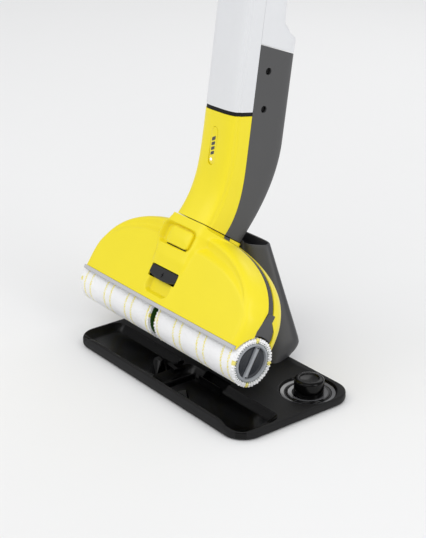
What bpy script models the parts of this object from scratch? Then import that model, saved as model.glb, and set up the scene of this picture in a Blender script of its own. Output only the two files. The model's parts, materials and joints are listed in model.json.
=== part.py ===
"""Wet dry floor scrubber on its parking station.

Lengths are in millimetres and turned into metres by the frames below. World axes: +Z up, the
machine's front towards -Y, X across it. The origin is on the floor, under the middle of the roller.
"""
import math

import bmesh
import bpy
from mathutils import Vector

MM = 0.001
GAP = 0.3                 # clearance between pieces that touch
WALL = 2.6                # plastic shell thickness

# --- parking station -------------------------------------------------------------------------
TRAY_LEFT, TRAY_RIGHT = -109.2, 212.5
TRAY_FRONT, TRAY_BACK = -66.6, 100.7
TRAY_RIM = 11.0           # height of the low rim and of the rear platform
TRAY_FRONT_WALL = 15.6    # height of the raised middle of the front wall
TRAY_CORNER = 27.0
TRAY_FLOOR = 2.5
SINK_BACK = -3.0          # the rear platform starts here
CAP_X, CAP_Y, CAP_R, CAP_TOP = 178.4, 60.8, 17.2, 26.8
RECESS_R, RECESS_DEPTH = 33.0, 3.5
TOWER_TOP = 134.0
TOWER_WALL = 2.6

# --- floor head ------------------------------------------------------------------------------
ROLLER_Z = 52.9           # height of the roller's axis
ROLLER_R = 28.9
ROLLER_HALF = 152.5       # half the length over both rollers
ROLLER_GAP = 5.0          # half the slot between the two rollers
HEAD_TILT = 34.0          # degrees that the head leans back from upright
OUTLINE_MID = 20.0        # height along the head at which its outline is widest
OUTLINE_POWER = 2.45
HEAD_HEIGHT = 92.0        # from the widest place to the top of the outline
BAND_FRONT, BAND_BACK = 6.0, -3.6   # depth of the dark band between the covers
ROLLER_CLEAR = 30.0       # radius kept free around the rollers
BOSS_HALF = 29.2          # half width of the boss that carries the stick
BOSS_TOP = 114.5
FACE = 40.0               # depth of the front face in the middle
SADDLE = 44.0             # depth of the raised middle of the front cover
STRIP_LOW, STRIP_HIGH = 4.3, 9.5
MOTOR_U = 66.0            # height of the motor's axis above the roller's, along the head
MOTOR_R = 17.0
ROLLER_PITCH_R, MOTOR_PITCH_R = 12.0, 5.0
SWIVEL_DEPTH = 8.0        # depth of the swivel's axis
SCREW_X, SCREW_U = 58.0, 82.0   # screws that hold the rear cover

# --- stick -----------------------------------------------------------------------------------
STICK_LEAN = 8.2          # degrees that the straight stick leans back
NECK_TURN = 36.0          # further lean of the path where the neck starts
NECK_LENGTH = 95.0        # length over which that lean fades out
STICK_HALF = 29.5         # half width
SEAM_Y, SEAM_Z = 58.5, 152.5
NECK_END = 143.2          # where the yellow neck ends, along the stick
SHELL_START = 148.0
SHELL_END = 560.0
HOUSING_FRONT_TOP, HOUSING_BACK_TOP = 223.0, 213.7
SHELL_SPLIT = 0.15        # depth at which front shell and rear housing meet
TANK_START, TANK_END = 308.0, 540.0
TUBE_START, TUBE_END = 606.0, 890.0
GRIP_LENGTH = 190.0
PILL_MIDDLE = 103.0       # middle of the status window, along the stick
BOLT_LOW, BOLT_HIGH, BOLT_DEPTH = 151.0, 194.7, -15.0   # bolts across the rear housing


# --- materials -------------------------------------------------------------------------------
PALETTE = {
    "yellow": ((0.87, 0.76, 0.035), 0.38, 0.0),
    "light_grey": ((0.69, 0.70, 0.72), 0.4, 0.0),
    "dark_grey": ((0.085, 0.086, 0.09), 0.5, 0.0),
    "black": ((0.012, 0.012, 0.013), 0.35, 0.0),
    "strip_grey": ((0.50, 0.50, 0.51), 0.5, 0.0),
    "cap_grey": ((0.21, 0.225, 0.25), 0.45, 0.0),
    "microfibre": ((0.88, 0.88, 0.87), 0.95, 0.0),
    "core_green": ((0.03, 0.10, 0.02), 0.5, 0.0),
    "steel": ((0.62, 0.62, 0.63), 0.3, 1.0),
    "rubber": ((0.02, 0.02, 0.02), 0.8, 0.0),
    "motor_can": ((0.45, 0.45, 0.46), 0.35, 1.0),
    "cell_blue": ((0.03, 0.10, 0.30), 0.4, 0.0),
    "tank": ((0.35, 0.40, 0.42), 0.15, 0.0),
}


def make_material(name):
    """A Principled material from the palette, made once."""
    if name in bpy.data.materials:
        return bpy.data.materials[name]
    colour, roughness, metallic = PALETTE[name]
    material = bpy.data.materials.new(name)
    material.use_nodes = True
    shader = material.node_tree.nodes["Principled BSDF"]
    shader.inputs["Base Color"].default_value = (*colour, 1.0)
    shader.inputs["Roughness"].default_value = roughness
    shader.inputs["Metallic"].default_value = metallic
    material.diffuse_color = (*colour, 1.0)
    return material


# --- frames: each turns millimetres in its own axes into a world point in metres ---------------
def world(x, y, z):
    return Vector((x, y, z)) * MM


HEAD_SIN, HEAD_COS = math.sin(math.radians(HEAD_TILT)), math.cos(math.radians(HEAD_TILT))


def head(x, u, w):
    """A point of the floor head: x across, u up along the head, w forward out of its face."""
    return world(x, u * HEAD_SIN - w * HEAD_COS, ROLLER_Z + u * HEAD_COS + w * HEAD_SIN)


def swivel(x, y, u):
    """A point around the swivel's axis: y is forward of that axis."""
    return head(x, u, SWIVEL_DEPTH + y)


def stick_path(s):
    """Point of the stick's guide line in the Y-Z plane, s along it from the neck's seam."""
    steps = 40
    bent = min(s, NECK_LENGTH)
    y, z = SEAM_Y, SEAM_Z
    for step in range(steps):
        along = (step + 0.5) * bent / steps
        angle = math.radians(STICK_LEAN + NECK_TURN * (1 - along / NECK_LENGTH) ** 2)
        y += math.sin(angle) * bent / steps
        z += math.cos(angle) * bent / steps
    rest = s - bent
    lean = math.radians(STICK_LEAN)
    return y + rest * math.sin(lean), z + rest * math.cos(lean)


def section_lean(s):
    """Lean in radians of the stick's cross-section at s."""
    turned = (HEAD_TILT - STICK_LEAN) * max(0.0, 1 - max(s, 0.0) / 110.0)
    return math.radians(STICK_LEAN + turned)


def stick(x, d, s):
    """A point of the stick: d is forward of the guide line, in the section at s."""
    y, z = stick_path(s)
    lean = section_lean(s)
    return world(x, y - d * math.cos(lean), z + d * math.sin(lean))


def front_depth(s):
    """How far the front shell stands forward of the guide line."""
    return 26.0 + 8.5 * math.exp(-((s / 65.0) ** 2))


def back_depth(s):
    """How far the rear housing stands behind the guide line."""
    t = min(max(s / 110.0, 0.0), 1.0)
    return 34.0 + 24.0 * (3 - 2 * t) * t * t


# --- bodies: one empty on each joint's axis -----------------------------------------------------
def make_body(name, place, parent=None):
    body = bpy.data.objects.new(name, None)
    body.empty_display_size = 0.02
    bpy.context.collection.objects.link(body)
    body.location = place
    if parent:
        body.parent = parent
        body.location = place - parent.matrix_world.translation
    bpy.context.view_layer.update()
    return body


# --- mesh builders ------------------------------------------------------------------------------
def add_mesh(name, mesh, body, colour=None, smooth=30.0):
    """Put a mesh made of world points under its body's empty."""
    bmesh.ops.remove_doubles(mesh, verts=mesh.verts, dist=1e-6)
    bmesh.ops.recalc_face_normals(mesh, faces=mesh.faces)
    origin = body.matrix_world.translation
    bmesh.ops.translate(mesh, vec=-origin, verts=mesh.verts)
    data = bpy.data.meshes.new(name)
    mesh.to_mesh(data)
    mesh.free()
    if smooth:
        data.shade_smooth()
        data.set_sharp_from_angle(angle=math.radians(smooth))
    thing = bpy.data.objects.new(name, data)
    bpy.context.collection.objects.link(thing)
    thing.parent = body
    if colour:
        data.materials.append(make_material(colour))
    return thing


def loft(name, rings, body, colour=None, loop=False, smooth=30.0):
    """Skin rings of equally many points; the ends are capped unless the rings form a loop."""
    mesh = bmesh.new()
    rows = [[mesh.verts.new(point) for point in ring] for ring in rings]
    count = len(rows[0])
    pairs = list(zip(rows, rows[1:] + rows[:1])) if loop else list(zip(rows, rows[1:]))
    for low, high in pairs:
        for i in range(count):
            j = (i + 1) % count
            mesh.faces.new((low[i], low[j], high[j], high[i]))
    if not loop:
        mesh.faces.new(list(reversed(rows[0])))
        mesh.faces.new(rows[-1])
    return add_mesh(name, mesh, body, colour, smooth)


def turned(name, profile, place, body, colour=None, segments=32):
    """Turn a closed (radius, height) profile about the third axis of a frame function."""
    mesh = bmesh.new()
    rows = []
    for k in range(segments):
        angle = 2 * math.pi * k / segments
        rows.append([mesh.verts.new(place(r * math.cos(angle), r * math.sin(angle), h))
                     for r, h in profile])
    count = len(profile)
    for low, high in zip(rows, rows[1:] + rows[:1]):
        for i in range(count):
            j = (i + 1) % count
            if profile[i][0] == 0 and profile[j][0] == 0:
                continue
            mesh.faces.new((low[i], low[j], high[j], high[i]))
    bmesh.ops.remove_doubles(mesh, verts=mesh.verts, dist=1e-7)
    bmesh.ops.dissolve_degenerate(mesh, edges=mesh.edges, dist=1e-7)
    return add_mesh(name, mesh, body, colour)


def disc_profile(radius, low, high, bore=0.0):
    """Profile of a plain cylinder or, with a bore, of a tube."""
    return [(bore, low), (radius, low), (radius, high), (bore, high)]


def block(name, place, low, high, body, colour=None):
    """A box between two corners of a frame function."""
    (x0, y0, z0), (x1, y1, z1) = low, high
    rings = [[place(x, y, z) for x, y in ((x0, y0), (x1, y0), (x1, y1), (x0, y1))]
             for z in (z0, z1)]
    return loft(name, rings, body, colour, smooth=0)


def tube_along(name, points, radius, body, colour, sides=8):
    """A round tube through world points, as a curve with filled caps."""
    curve = bpy.data.curves.new(name, "CURVE")
    curve.dimensions = "3D"
    curve.bevel_depth = radius * MM
    curve.bevel_resolution = max(0, sides // 4 - 1)
    curve.use_fill_caps = True
    spline = curve.splines.new("POLY")
    spline.points.add(len(points) - 1)
    origin = body.matrix_world.translation
    for target, point in zip(spline.points, points):
        target.co = (*(point - origin), 1.0)
    thing = bpy.data.objects.new(name, curve)
    bpy.context.collection.objects.link(thing)
    thing.parent = body
    curve.materials.append(make_material(colour))
    return thing


def smooth_route(points, steps):
    """Catmull-Rom curve through a few points."""
    padded = [points[0] * 2 - points[1], *points, points[-1] * 2 - points[-2]]
    route = []
    for a, b, c, d in zip(padded, padded[1:], padded[2:], padded[3:]):
        for k in range(steps):
            t = k / steps
            route.append(0.5 * (2 * b + (c - a) * t + (2 * a - 5 * b + 4 * c - d) * t * t
                                + (3 * b - a - 3 * c + d) * t ** 3))
    route.append(points[-1])
    return route


def change(target, tool, operation="DIFFERENCE"):
    """Cut a hidden tool out of a piece, or join it on."""
    tool.hide_render = True
    tool.display_type = "WIRE"
    modifier = target.modifiers.new(tool.name, "BOOLEAN")
    modifier.operation = operation
    modifier.object = tool
    modifier.solver = "EXACT"


def soften(target, width, segments=2, angle=40.0):
    """Round a piece's crisp edges."""
    modifier = target.modifiers.new("edge_round", "BEVEL")
    modifier.width = width * MM
    modifier.segments = segments
    modifier.limit_method = "ANGLE"
    modifier.angle_limit = math.radians(angle)
    modifier.use_clamp_overlap = True


# --- outlines -----------------------------------------------------------------------------------
def outline(half, height, bottom, count=32):
    """Arched outline (x, u) of the head, from its lower right corner round to the lower left."""
    power = 2.0 / OUTLINE_POWER
    side = (bottom + OUTLINE_MID) / 2
    points = [(half, bottom), (half, side)]
    for k in range(count + 1):
        angle = math.pi * k / count
        along, up = math.cos(angle), math.sin(angle)
        points.append((math.copysign(half * abs(along) ** power, along),
                       OUTLINE_MID + height * abs(up) ** power))
    return points + [(-half, side), (-half, bottom)]


def cropped(points, floor):
    """The part of an outline above a height, closed by a straight edge at that height."""
    kept = [(x, u) for x, u in points if u > floor]
    return [(kept[0][0], floor), *kept, (kept[-1][0], floor)]


def with_boss(points, half, top):
    """An outline whose middle is raised to a flat boss."""
    right = [(x, u) for x, u in points if x > half + 2]
    left = [(x, u) for x, u in points if x < -half - 2]
    edge = OUTLINE_MID + HEAD_HEIGHT * (1 - (half / ROLLER_HALF) ** OUTLINE_POWER) ** (
        1 / OUTLINE_POWER) - 1.0
    return [*right, (half, edge), (half, top), (-half, top), (-half, edge), *left]


def ramp(value, stops):
    """Piecewise linear value through (input, output) stops with rising inputs."""
    for (a, fa), (b, fb) in zip(stops, stops[1:]):
        if value <= b:
            t = min(max((value - a) / (b - a), 0.0), 1.0)
            return fa + (fb - fa) * t
    return stops[-1][1]


def roller_space(name, flare, facing, body):
    """Cutter for the room that a cover leaves around the rollers and the side plates."""
    start = math.asin(flare[-1][0] / ROLLER_CLEAR)
    stop = math.radians(-75)
    arc = [(ROLLER_CLEAR * math.sin(start + (stop - start) * k / 10),
            facing * ROLLER_CLEAR * math.cos(start + (stop - start) * k / 10)) for k in range(11)]
    behind = -facing * 60.0
    shape = [(flare[0][0], behind), *flare, *arc, (-60.0, arc[-1][1]), (-60.0, behind)]
    return loft(name, [[head(x, u, w) for u, w in shape] for x in (-160.0, 160.0)], body)


def face_depth(x):
    """Depth of the front face, which curves back towards the sides."""
    return FACE - 6.0 * (x / 150.0) ** 2


# --- parking station ----------------------------------------------------------------------------
def rounded_rectangle(left, right, front, back, radius, arc=5):
    points = []
    corners = ((right - radius, front + radius, -90), (right - radius, back - radius, 0),
               (left + radius, back - radius, 90), (left + radius, front + radius, 180))
    for cx, cy, start in corners:
        for k in range(arc + 1):
            angle = math.radians(start + 90 * k / arc)
            points.append((cx + radius * math.cos(angle), cy + radius * math.sin(angle)))
    return points


def slab(name, left, right, front, back, radius, levels, body, colour=None):
    """Rounded plate; levels are (height, inset) pairs."""
    rings = []
    for z, inset in levels:
        shape = rounded_rectangle(left + inset, right - inset, front + inset, back - inset,
                                  max(radius - inset, 1.0))
        rings.append([world(x, y, z) for x, y in shape])
    return loft(name, rings, body, colour)


def foot_loop(name, width, low, high, body, colour=None):
    """Loop of rubber under the tray's edge."""
    rings = []
    for inset, z in ((-width / 2, low), (width / 2, low), (width / 2, high), (-width / 2, high)):
        edge = 11.0 + inset
        shape = rounded_rectangle(TRAY_LEFT + edge, TRAY_RIGHT - edge, TRAY_FRONT + edge,
                                  TRAY_BACK - edge, TRAY_CORNER - edge)
        rings.append([world(x, y, z) for x, y in shape])
    return loft(name, rings, body, colour, loop=True)


def make_tray(station):
    tray = slab("dock_tray", TRAY_LEFT, TRAY_RIGHT, TRAY_FRONT, TRAY_BACK, TRAY_CORNER,
                ((0, 2.6), (1.6, 1.2), (TRAY_RIM - 1.2, 0), (TRAY_RIM, 1.2)), station, "black")
    wall_rings = []
    for x, top in ((-86, TRAY_RIM - 2), (-72, TRAY_FRONT_WALL), (176, TRAY_FRONT_WALL),
                   (187, TRAY_RIM - 2)):
        wall_rings.append([world(x, TRAY_FRONT + 0.4, 4), world(x, TRAY_FRONT + 4.4, 4),
                           world(x, TRAY_FRONT + 4.4, top), world(x, TRAY_FRONT + 0.9, top)])
    sink = slab("sink_cut", -104.0, 207.0, TRAY_FRONT + 4.2, SINK_BACK, 14.0,
                ((TRAY_FLOOR, 7), (TRAY_RIM + 12, 0)), station)
    change(tray, sink)
    change(tray, loft("front_wall", wall_rings, station, smooth=0), "UNION")
    recess = turned("cap_recess_cut", disc_profile(RECESS_R, TRAY_RIM - RECESS_DEPTH, 30),
                    lambda x, y, z: world(CAP_X + x - 1.5, CAP_Y + y, z), station, segments=40)
    change(tray, recess)
    post = loft("divider_post", [
        [world(x, y, 2.0) for x, y in ((14.4, -41.5), (36.0, -48.5), (28.5, -28.0), (14.0, -27.5))],
        [world(x, y, 17.0) for x, y in ((15.4, -35.6), (26.6, -33.8), (24.8, -28.9),
                                        (15.0, -28.4))]], station, smooth=0)
    change(tray, post, "UNION")
    cross = block("cross_wall", world, (56.6, -62.0, 2), (59.2, -2.0, 6.4), station)
    change(tray, cross, "UNION")
    cradle = loft("roller_cradle", [
        [world(x, y, z) for x, z in ((30.0, 2.0), (30.0, crest + 2.4), (32.6, crest + 1.2),
                                     (reach, crest), (reach, 2.0))]
        for y, crest, reach in ((-28.0, 11.4, 44.5), (-16.0, 9.0, 45.0), (-6.0, 8.2, 41.0),
                                (2.6, 8.2, 36.0))], station, smooth=0)
    change(tray, cradle, "UNION")
    fin = loft("sink_fin", [
        [world(x, y, 2.0) for x, y in ((94.0, -62.4), (115.0, -62.4), (96.0, -45.0))],
        [world(x, y, z) for x, y, z in ((95.0, -62.2, 14.2), (113.0, -62.2, 14.2),
                                        (93.0, -47.5, 11.8))]], station, smooth=0)
    change(tray, fin, "UNION")
    change(tray, block("rear_notch", world, (72.0, -8.0, 4.0), (114.0, 1.2, 13.0), station))
    for number, (left, right) in enumerate(((-98, -8), (8, 136))):
        pocket = block(f"rib_pocket_{number}", world, (left, 8, -2), (right, 92, 8.2), station)
        change(tray, pocket)
    change(tray, foot_loop("foot_groove_cut", 5.6, -1.0, 1.5, station))
    foot_loop("foot_strip", 5.0, 0.0, 1.2, station, "rubber")
    return tray


def tower_section(z, thickness=0.0):
    """Half outline of the tower at height z: front tip, side and back corner, outer or inner."""
    t = (z - TRAY_RIM) / (TOWER_TOP - TRAY_RIM)
    tip = (108.5 + (30.5 - 108.5) * t, 67 + (88.5 - 67) * t)
    low = min(max((30 - z) / 18.0, 0.0), 1.0)
    corner = (108 + (50 - 108) * max(z - 30, 0) / (TOWER_TOP - 30) - 5 * low * low,
              115 + 2 * t - 9 * low * low)
    shift = thickness
    right = [(tip[0] - shift, tip[1] + shift * 0.1), (corner[0] - shift * 1.1, corner[1] - 12),
             (corner[0] - 3.5 - shift, corner[1] - 3.0 - shift * 0.6),
             (corner[0] - 12 - shift * 0.5, corner[1] - shift)]
    return right


def make_tower(station):
    rings = []
    for z in (TRAY_RIM + GAP, 14.0, 20.0, 30.0, 80.0, TOWER_TOP):
        outer = tower_section(z)
        inner = tower_section(z, TOWER_WALL)
        right = [world(x, y, z) for x, y in outer]
        left = [world(-x, y, z) for x, y in reversed(outer)]
        inner_left = [world(-x, y, z) for x, y in inner]
        inner_right = [world(x, y, z) for x, y in reversed(inner)]
        rings.append(right + left + inner_left + inner_right)
    tower = loft("dock_tower", rings, station, "dark_grey")
    rear_foot = block("rear_foot", world, (-80, TRAY_BACK + GAP, 0), (80, 112.4, 16), station)
    change(tower, rear_foot, "UNION")


def make_measuring_cap(station, cap_body):
    def at_cap(x, y, z):
        return world(CAP_X + x, CAP_Y + y, z)

    floor = TRAY_RIM - RECESS_DEPTH
    turned("cap_post", [(0, floor + GAP), (12, floor + GAP), (11.5, 19), (0, 19)], at_cap,
           station, "black", 28)
    turned("measuring_cap", [(0, CAP_TOP - 1.2), (10.6, CAP_TOP - 1.2), (11.6, CAP_TOP),
                             (CAP_R - 2.2, CAP_TOP), (CAP_R - 0.6, CAP_TOP - 0.7),
                             (CAP_R, CAP_TOP - 2.4), (CAP_R, floor + 1.2), (CAP_R - 1, floor + GAP),
                             (CAP_R - 2.6, floor + GAP), (CAP_R - 3.0, 19.6), (0, 19.6)],
           at_cap, cap_body, "black", 36)


# --- floor head: shells -------------------------------------------------------------------------
def saddle_rings(shrink, top, back):
    """Boss under the stick that runs down the front cover."""
    rings = []
    stations = ((47.0, 31.0, FACE - 1.5, 33.0), (52.0, 30.5, SADDLE, 40.0),
                (84.0, 29.5, SADDLE, 44.0), (101.0, 28.5, SADDLE - 0.6, 36.0),
                (top, 28.2, SADDLE - 2.2, BOSS_HALF))
    for u, half, front, base in stations:
        half, base, front = half - shrink, base - shrink, front - shrink
        right = [(base, back), (base, back + (front - back) * 0.25),
                 (half, front - 5), (half - 3.5, front - 1.2), (half - 9, front)]
        left = [(-x, w) for x, w in reversed(right)]
        rings.append([head(x, u, w) for x, w in right + left])
    return rings


def lobed(points, widest=151.4):
    """An outline whose lower sides come out to the full width, beside the side plates."""
    result = []
    for x, u in points:
        t = min(max((58.0 - u) / 16.0, 0.0), 1.0)
        t = t * t * (3 - 2 * t)
        reach = abs(x) / max(abs(points[0][0]), 1.0)
        grown = x + math.copysign((widest - abs(points[0][0])) * t * reach ** 6, x)
        result.append((grown, u))
    return result


def make_front_cover(cover):
    levels = ((BAND_FRONT, 152.5, 92.0, 152.5), (12.0, 151.2, 91.3, 152.4),
              (20.0, 149.8, 90.0, 152.0), (27.0, 147.4, 87.6, 150.4), (32.0, 144.2, 84.6, 147.0),
              (34.0, 141.5, 82.0, 142.5))
    rings = []
    for k, (depth, half, height, lobe) in enumerate(levels):
        rings.append([head(x, u, min(depth, face_depth(x) - 0.4 * (5 - k)))
                      for x, u in lobed(outline(half, height, 5.2 + 0.5 * k), lobe)])
    for half, height, low in ((137.0, 64.5, 8.4), (105.0, 44.0, 16.0), (55.0, 20.0, 20.0)):
        rings.append([head(x, max(u, low), face_depth(x)) for x, u in outline(half, height, low)])
    shell = loft("front_cover", rings, cover, "yellow")
    change(shell, loft("saddle", saddle_rings(0.0, BOSS_TOP, BAND_FRONT + 0.2), cover), "UNION")
    inner = []
    for depth, half, height in ((-4.0, 149.6, 89.2), (12.0, 147.8, 88.0), (20.0, 146.4, 86.6),
                                (26.0, 144.0, 84.0), (31.0, 140.0, 79.6), (FACE, 134.0, 61.0)):
        inner.append([head(x, u, min(depth, face_depth(x) - WALL))
                      for x, u in outline(half, height, 7.8)])
    change(shell, loft("cover_hollow", inner, cover))
    change(shell, loft("saddle_hollow", saddle_rings(WALL, BOSS_TOP + 4, -4.0), cover))
    flare = ((57.0, BAND_FRONT), (47.0, 10.6), (34.0, 15.2), (25.8, 15.2))
    change(shell, roller_space("front_roller_space", flare, 1, cover))
    change(shell, block("strip_rebate", head, (-148, 2.0, 27.5), (148, 9.8, 50), cover))
    change(shell, block("button_hole", head, (-20.6, 78.3, 30), (20.6, 101.1, 50), cover))
    change(shell, block("flap_hole", head, (-25.4, 34.8, 30), (25.4, 50.3, 50), cover))
    return shell


def make_cover_details(cover, button_body, flap_body):
    rings = []
    for k in range(13):
        x = -147.4 + 2 * 147.4 * k / 12
        out = face_depth(x) + 0.5
        rings.append([head(x, STRIP_LOW, ROLLER_CLEAR + 0.4), head(x, STRIP_HIGH, ROLLER_CLEAR),
                      head(x, STRIP_HIGH, out), head(x, STRIP_LOW + 0.6, out - 0.6)])
    loft("wiper_strip", rings, cover, "strip_grey", smooth=0)

    def pad(half, low, high):
        return rounded_rectangle(-half, half, low, high, 5.0, 3)

    def top(x, u):
        return SADDLE + 1.6 - 1.8 * (x / 20.0) ** 2 - 1.4 * ((u - 89.7) / 11.0) ** 2

    pad_rings = [[head(x, u, 36.8) for x, u in pad(21.6, 77.4, 102.0)],
                 [head(x, u, 39.0) for x, u in pad(21.6, 77.4, 102.0)],
                 [head(x, u, 39.0) for x, u in pad(20.0, 78.9, 100.5)],
                 [head(x, u, top(x, u)) for x, u in pad(20.0, 78.9, 100.5)],
                 [head(x, u, top(x, u) + 0.3) for x, u in pad(12.0, 83.0, 96.0)]]
    loft("release_button", pad_rings, button_body, "yellow")
    rings = [[head(x, u, w) for u, w in ((84, depth), (95, depth), (95, depth + 0.8),
                                         (84, depth + 0.8))]
             for x, depth in ((-26.0, 32.2), (-21.0, 32.2), (-6.0, 31.8), (6.0, 31.8),
                              (21.0, 32.2), (26.0, 32.2))]
    loft("button_spring", rings, cover, "steel", smooth=0)

    hinge_u, hinge_w, radius = 48.0, 38.6, 1.8
    rings = []
    for x in (-24.9, -22.0, -8.0, 8.0, 22.0, 24.9):
        sag = 1.0 - (x / 24.9) ** 2
        profile = [(hinge_u + radius * math.sin(a), hinge_w - radius * math.cos(a))
                   for a in (math.pi * k / 5 for k in range(6))]
        profile += [(42.0, hinge_w + radius + 0.4), (35.4 + 0.8 * abs(x) / 24.9, hinge_w + 1.6),
                    (35.4 + 0.8 * abs(x) / 24.9, hinge_w - 1.2), (40.0, hinge_w - radius)]
        rings.append([head(x * (1.0 if u > 40 else 0.93), u - 0.2 * sag, w) for u, w in profile])
    flap = loft("charge_flap", rings, flap_body, "dark_grey")

    def along_hinge(a, b, x):
        return head(x, hinge_u + a, hinge_w + b)

    change(flap, turned("flap_bore", disc_profile(1.1, -30, 30), along_hinge, flap_body,
                        segments=12))
    turned("flap_pin", disc_profile(0.8, -24.7, 24.7), along_hinge, cover, "steel", 10)


def make_rear_cover(head_body):
    levels = ((BAND_BACK, 152.5, 92.0), (-14.0, 151.0, 90.0), (-22.0, 148.0, 87.0),
              (-27.5, 143.0, 82.0), (-30.0, 134.0, 73.0))
    rings = []
    for k, (depth, half, height) in enumerate(levels):
        rings.append([head(x, u, depth) for x, u in outline(half, height, 18.8 + 0.25 * k)])
    shell = loft("rear_cover", rings, head_body, "yellow")

    def boss(half, low, high, back, front):
        """Boss of the rear cover, rounded at its back corners."""
        shape = [(half, front), (half, back + 6), (half - 2, back + 2), (half - 6, back),
                 (-half + 6, back), (-half + 2, back + 2), (-half, back + 6), (-half, front)]
        return [[head(x, u, w) for x, w in shape] for u in (low, high)]

    change(shell, loft("rear_boss", boss(BOSS_HALF, 84.0, BOSS_TOP, -25.0, BAND_BACK), head_body),
           "UNION")
    inner = []
    for depth, half, height in ((4.0, 149.6, 89.2), (-13.0, 148.4, 87.4), (-20.5, 145.4, 84.2),
                                (-25.0, 140.8, 79.4), (-27.4, 133.0, 71.5)):
        inner.append([head(x, u, depth)
                      for x, u in cropped(outline(half, height, 10.0), 21.6)])
    change(shell, loft("rear_hollow", inner, head_body))
    change(shell, loft("rear_boss_hollow", boss(BOSS_HALF - WALL, 80.0, BOSS_TOP + 4, -22.4, 4.0),
                       head_body))
    flare = ((49.0, BAND_BACK), (41.0, -11.2), (32.0, -14.0), (26.5, -14.0))
    change(shell, roller_space("rear_roller_space", flare, -1, head_body))
    profile = [(0, -32.6), (2.4, -32.6), (3.1, -31.4), (3.1, -30.3), (1.4, -30.3), (1.4, -14.0),
               (0, -14.0)]
    for side, name in ((-1, "head_screw_left"), (1, "head_screw_right")):
        def driven(a, b, w, side=side):
            return head(SCREW_X * side + a, SCREW_U + b, w)

        change(shell, turned(f"{name}_hole", disc_profile(1.8, -34, -24), driven, head_body,
                             segments=10))
        turned(name, profile, driven, head_body, "steel", 12)


def make_chassis(head_body):
    edge = with_boss(cropped(outline(152.0, 91.5, 31.0), 31.0), BOSS_HALF, BOSS_TOP)
    frame = loft("chassis_frame", [[head(x, u, w) for x, u in edge]
                                   for w in (BAND_BACK + GAP, BAND_FRONT - GAP)],
                 head_body, "dark_grey", smooth=0)
    pocket_edge = cropped(outline(147.6, 87.2, 33.5), 33.5)
    pocket = loft("chassis_pocket", [[head(x, u, w) for x, u in pocket_edge]
                                     for w in (-8.0, 2.4)], head_body)
    change(frame, pocket)
    change(frame, block("drive_opening", head, (-76, 20, -8), (66, 86.0, 12), head_body))
    for side in (-1, 1):
        left, right = sorted((side * 146.6, side * 160.0))
        change(frame, block(f"side_opening_{side}", head, (left, 20, -8), (right, 57.3, 12),
                            head_body))
    change(frame, turned("socket_opening", disc_profile(18.4, 92.5, 118), swivel, head_body))
    start, stop = math.atan2(26.4, 14.6), math.pi - math.atan2(26.4, 13.2)
    arc = []
    for k in range(7):
        angle = start + (stop - start) * k / 6
        arc.append((ROLLER_CLEAR * 1.01 * math.sin(angle), ROLLER_CLEAR * 1.01 * math.cos(angle)))
    shape = [(56.9, 5.6), (47, 10.0), (34, 14.6), *arc, (32, -13.4), (41, -10.6), (48.6, -3.3),
             (56.9, -3.2)]
    for side, name in ((-1, "side_plate_left"), (1, "side_plate_right")):
        loft(name, [[head(x * side, u, w) for u, w in shape] for x in (147.0, 149.4)],
             head_body, "dark_grey", smooth=0)


# --- floor head: drive --------------------------------------------------------------------------
def leg_shape(around_roller, around_motor):
    """Belt-shaped outline (u, w) around the roller's axis and the motor's axis."""
    lean = math.asin((around_roller - around_motor) / MOTOR_U)
    points = []
    for k in range(13):
        angle = math.pi / 2 + lean + (math.pi - 2 * lean) * k / 12
        points.append((around_roller * math.cos(angle), around_roller * math.sin(angle)))
    for k in range(9):
        angle = -math.pi / 2 - lean + (math.pi + 2 * lean) * k / 8
        points.append((MOTOR_U + around_motor * math.cos(angle), around_motor * math.sin(angle)))
    return points


def roller_axis(a, b, x):
    return head(x, a, b)


def motor_axis(a, b, x):
    return head(x, MOTOR_U + a, b)


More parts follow.
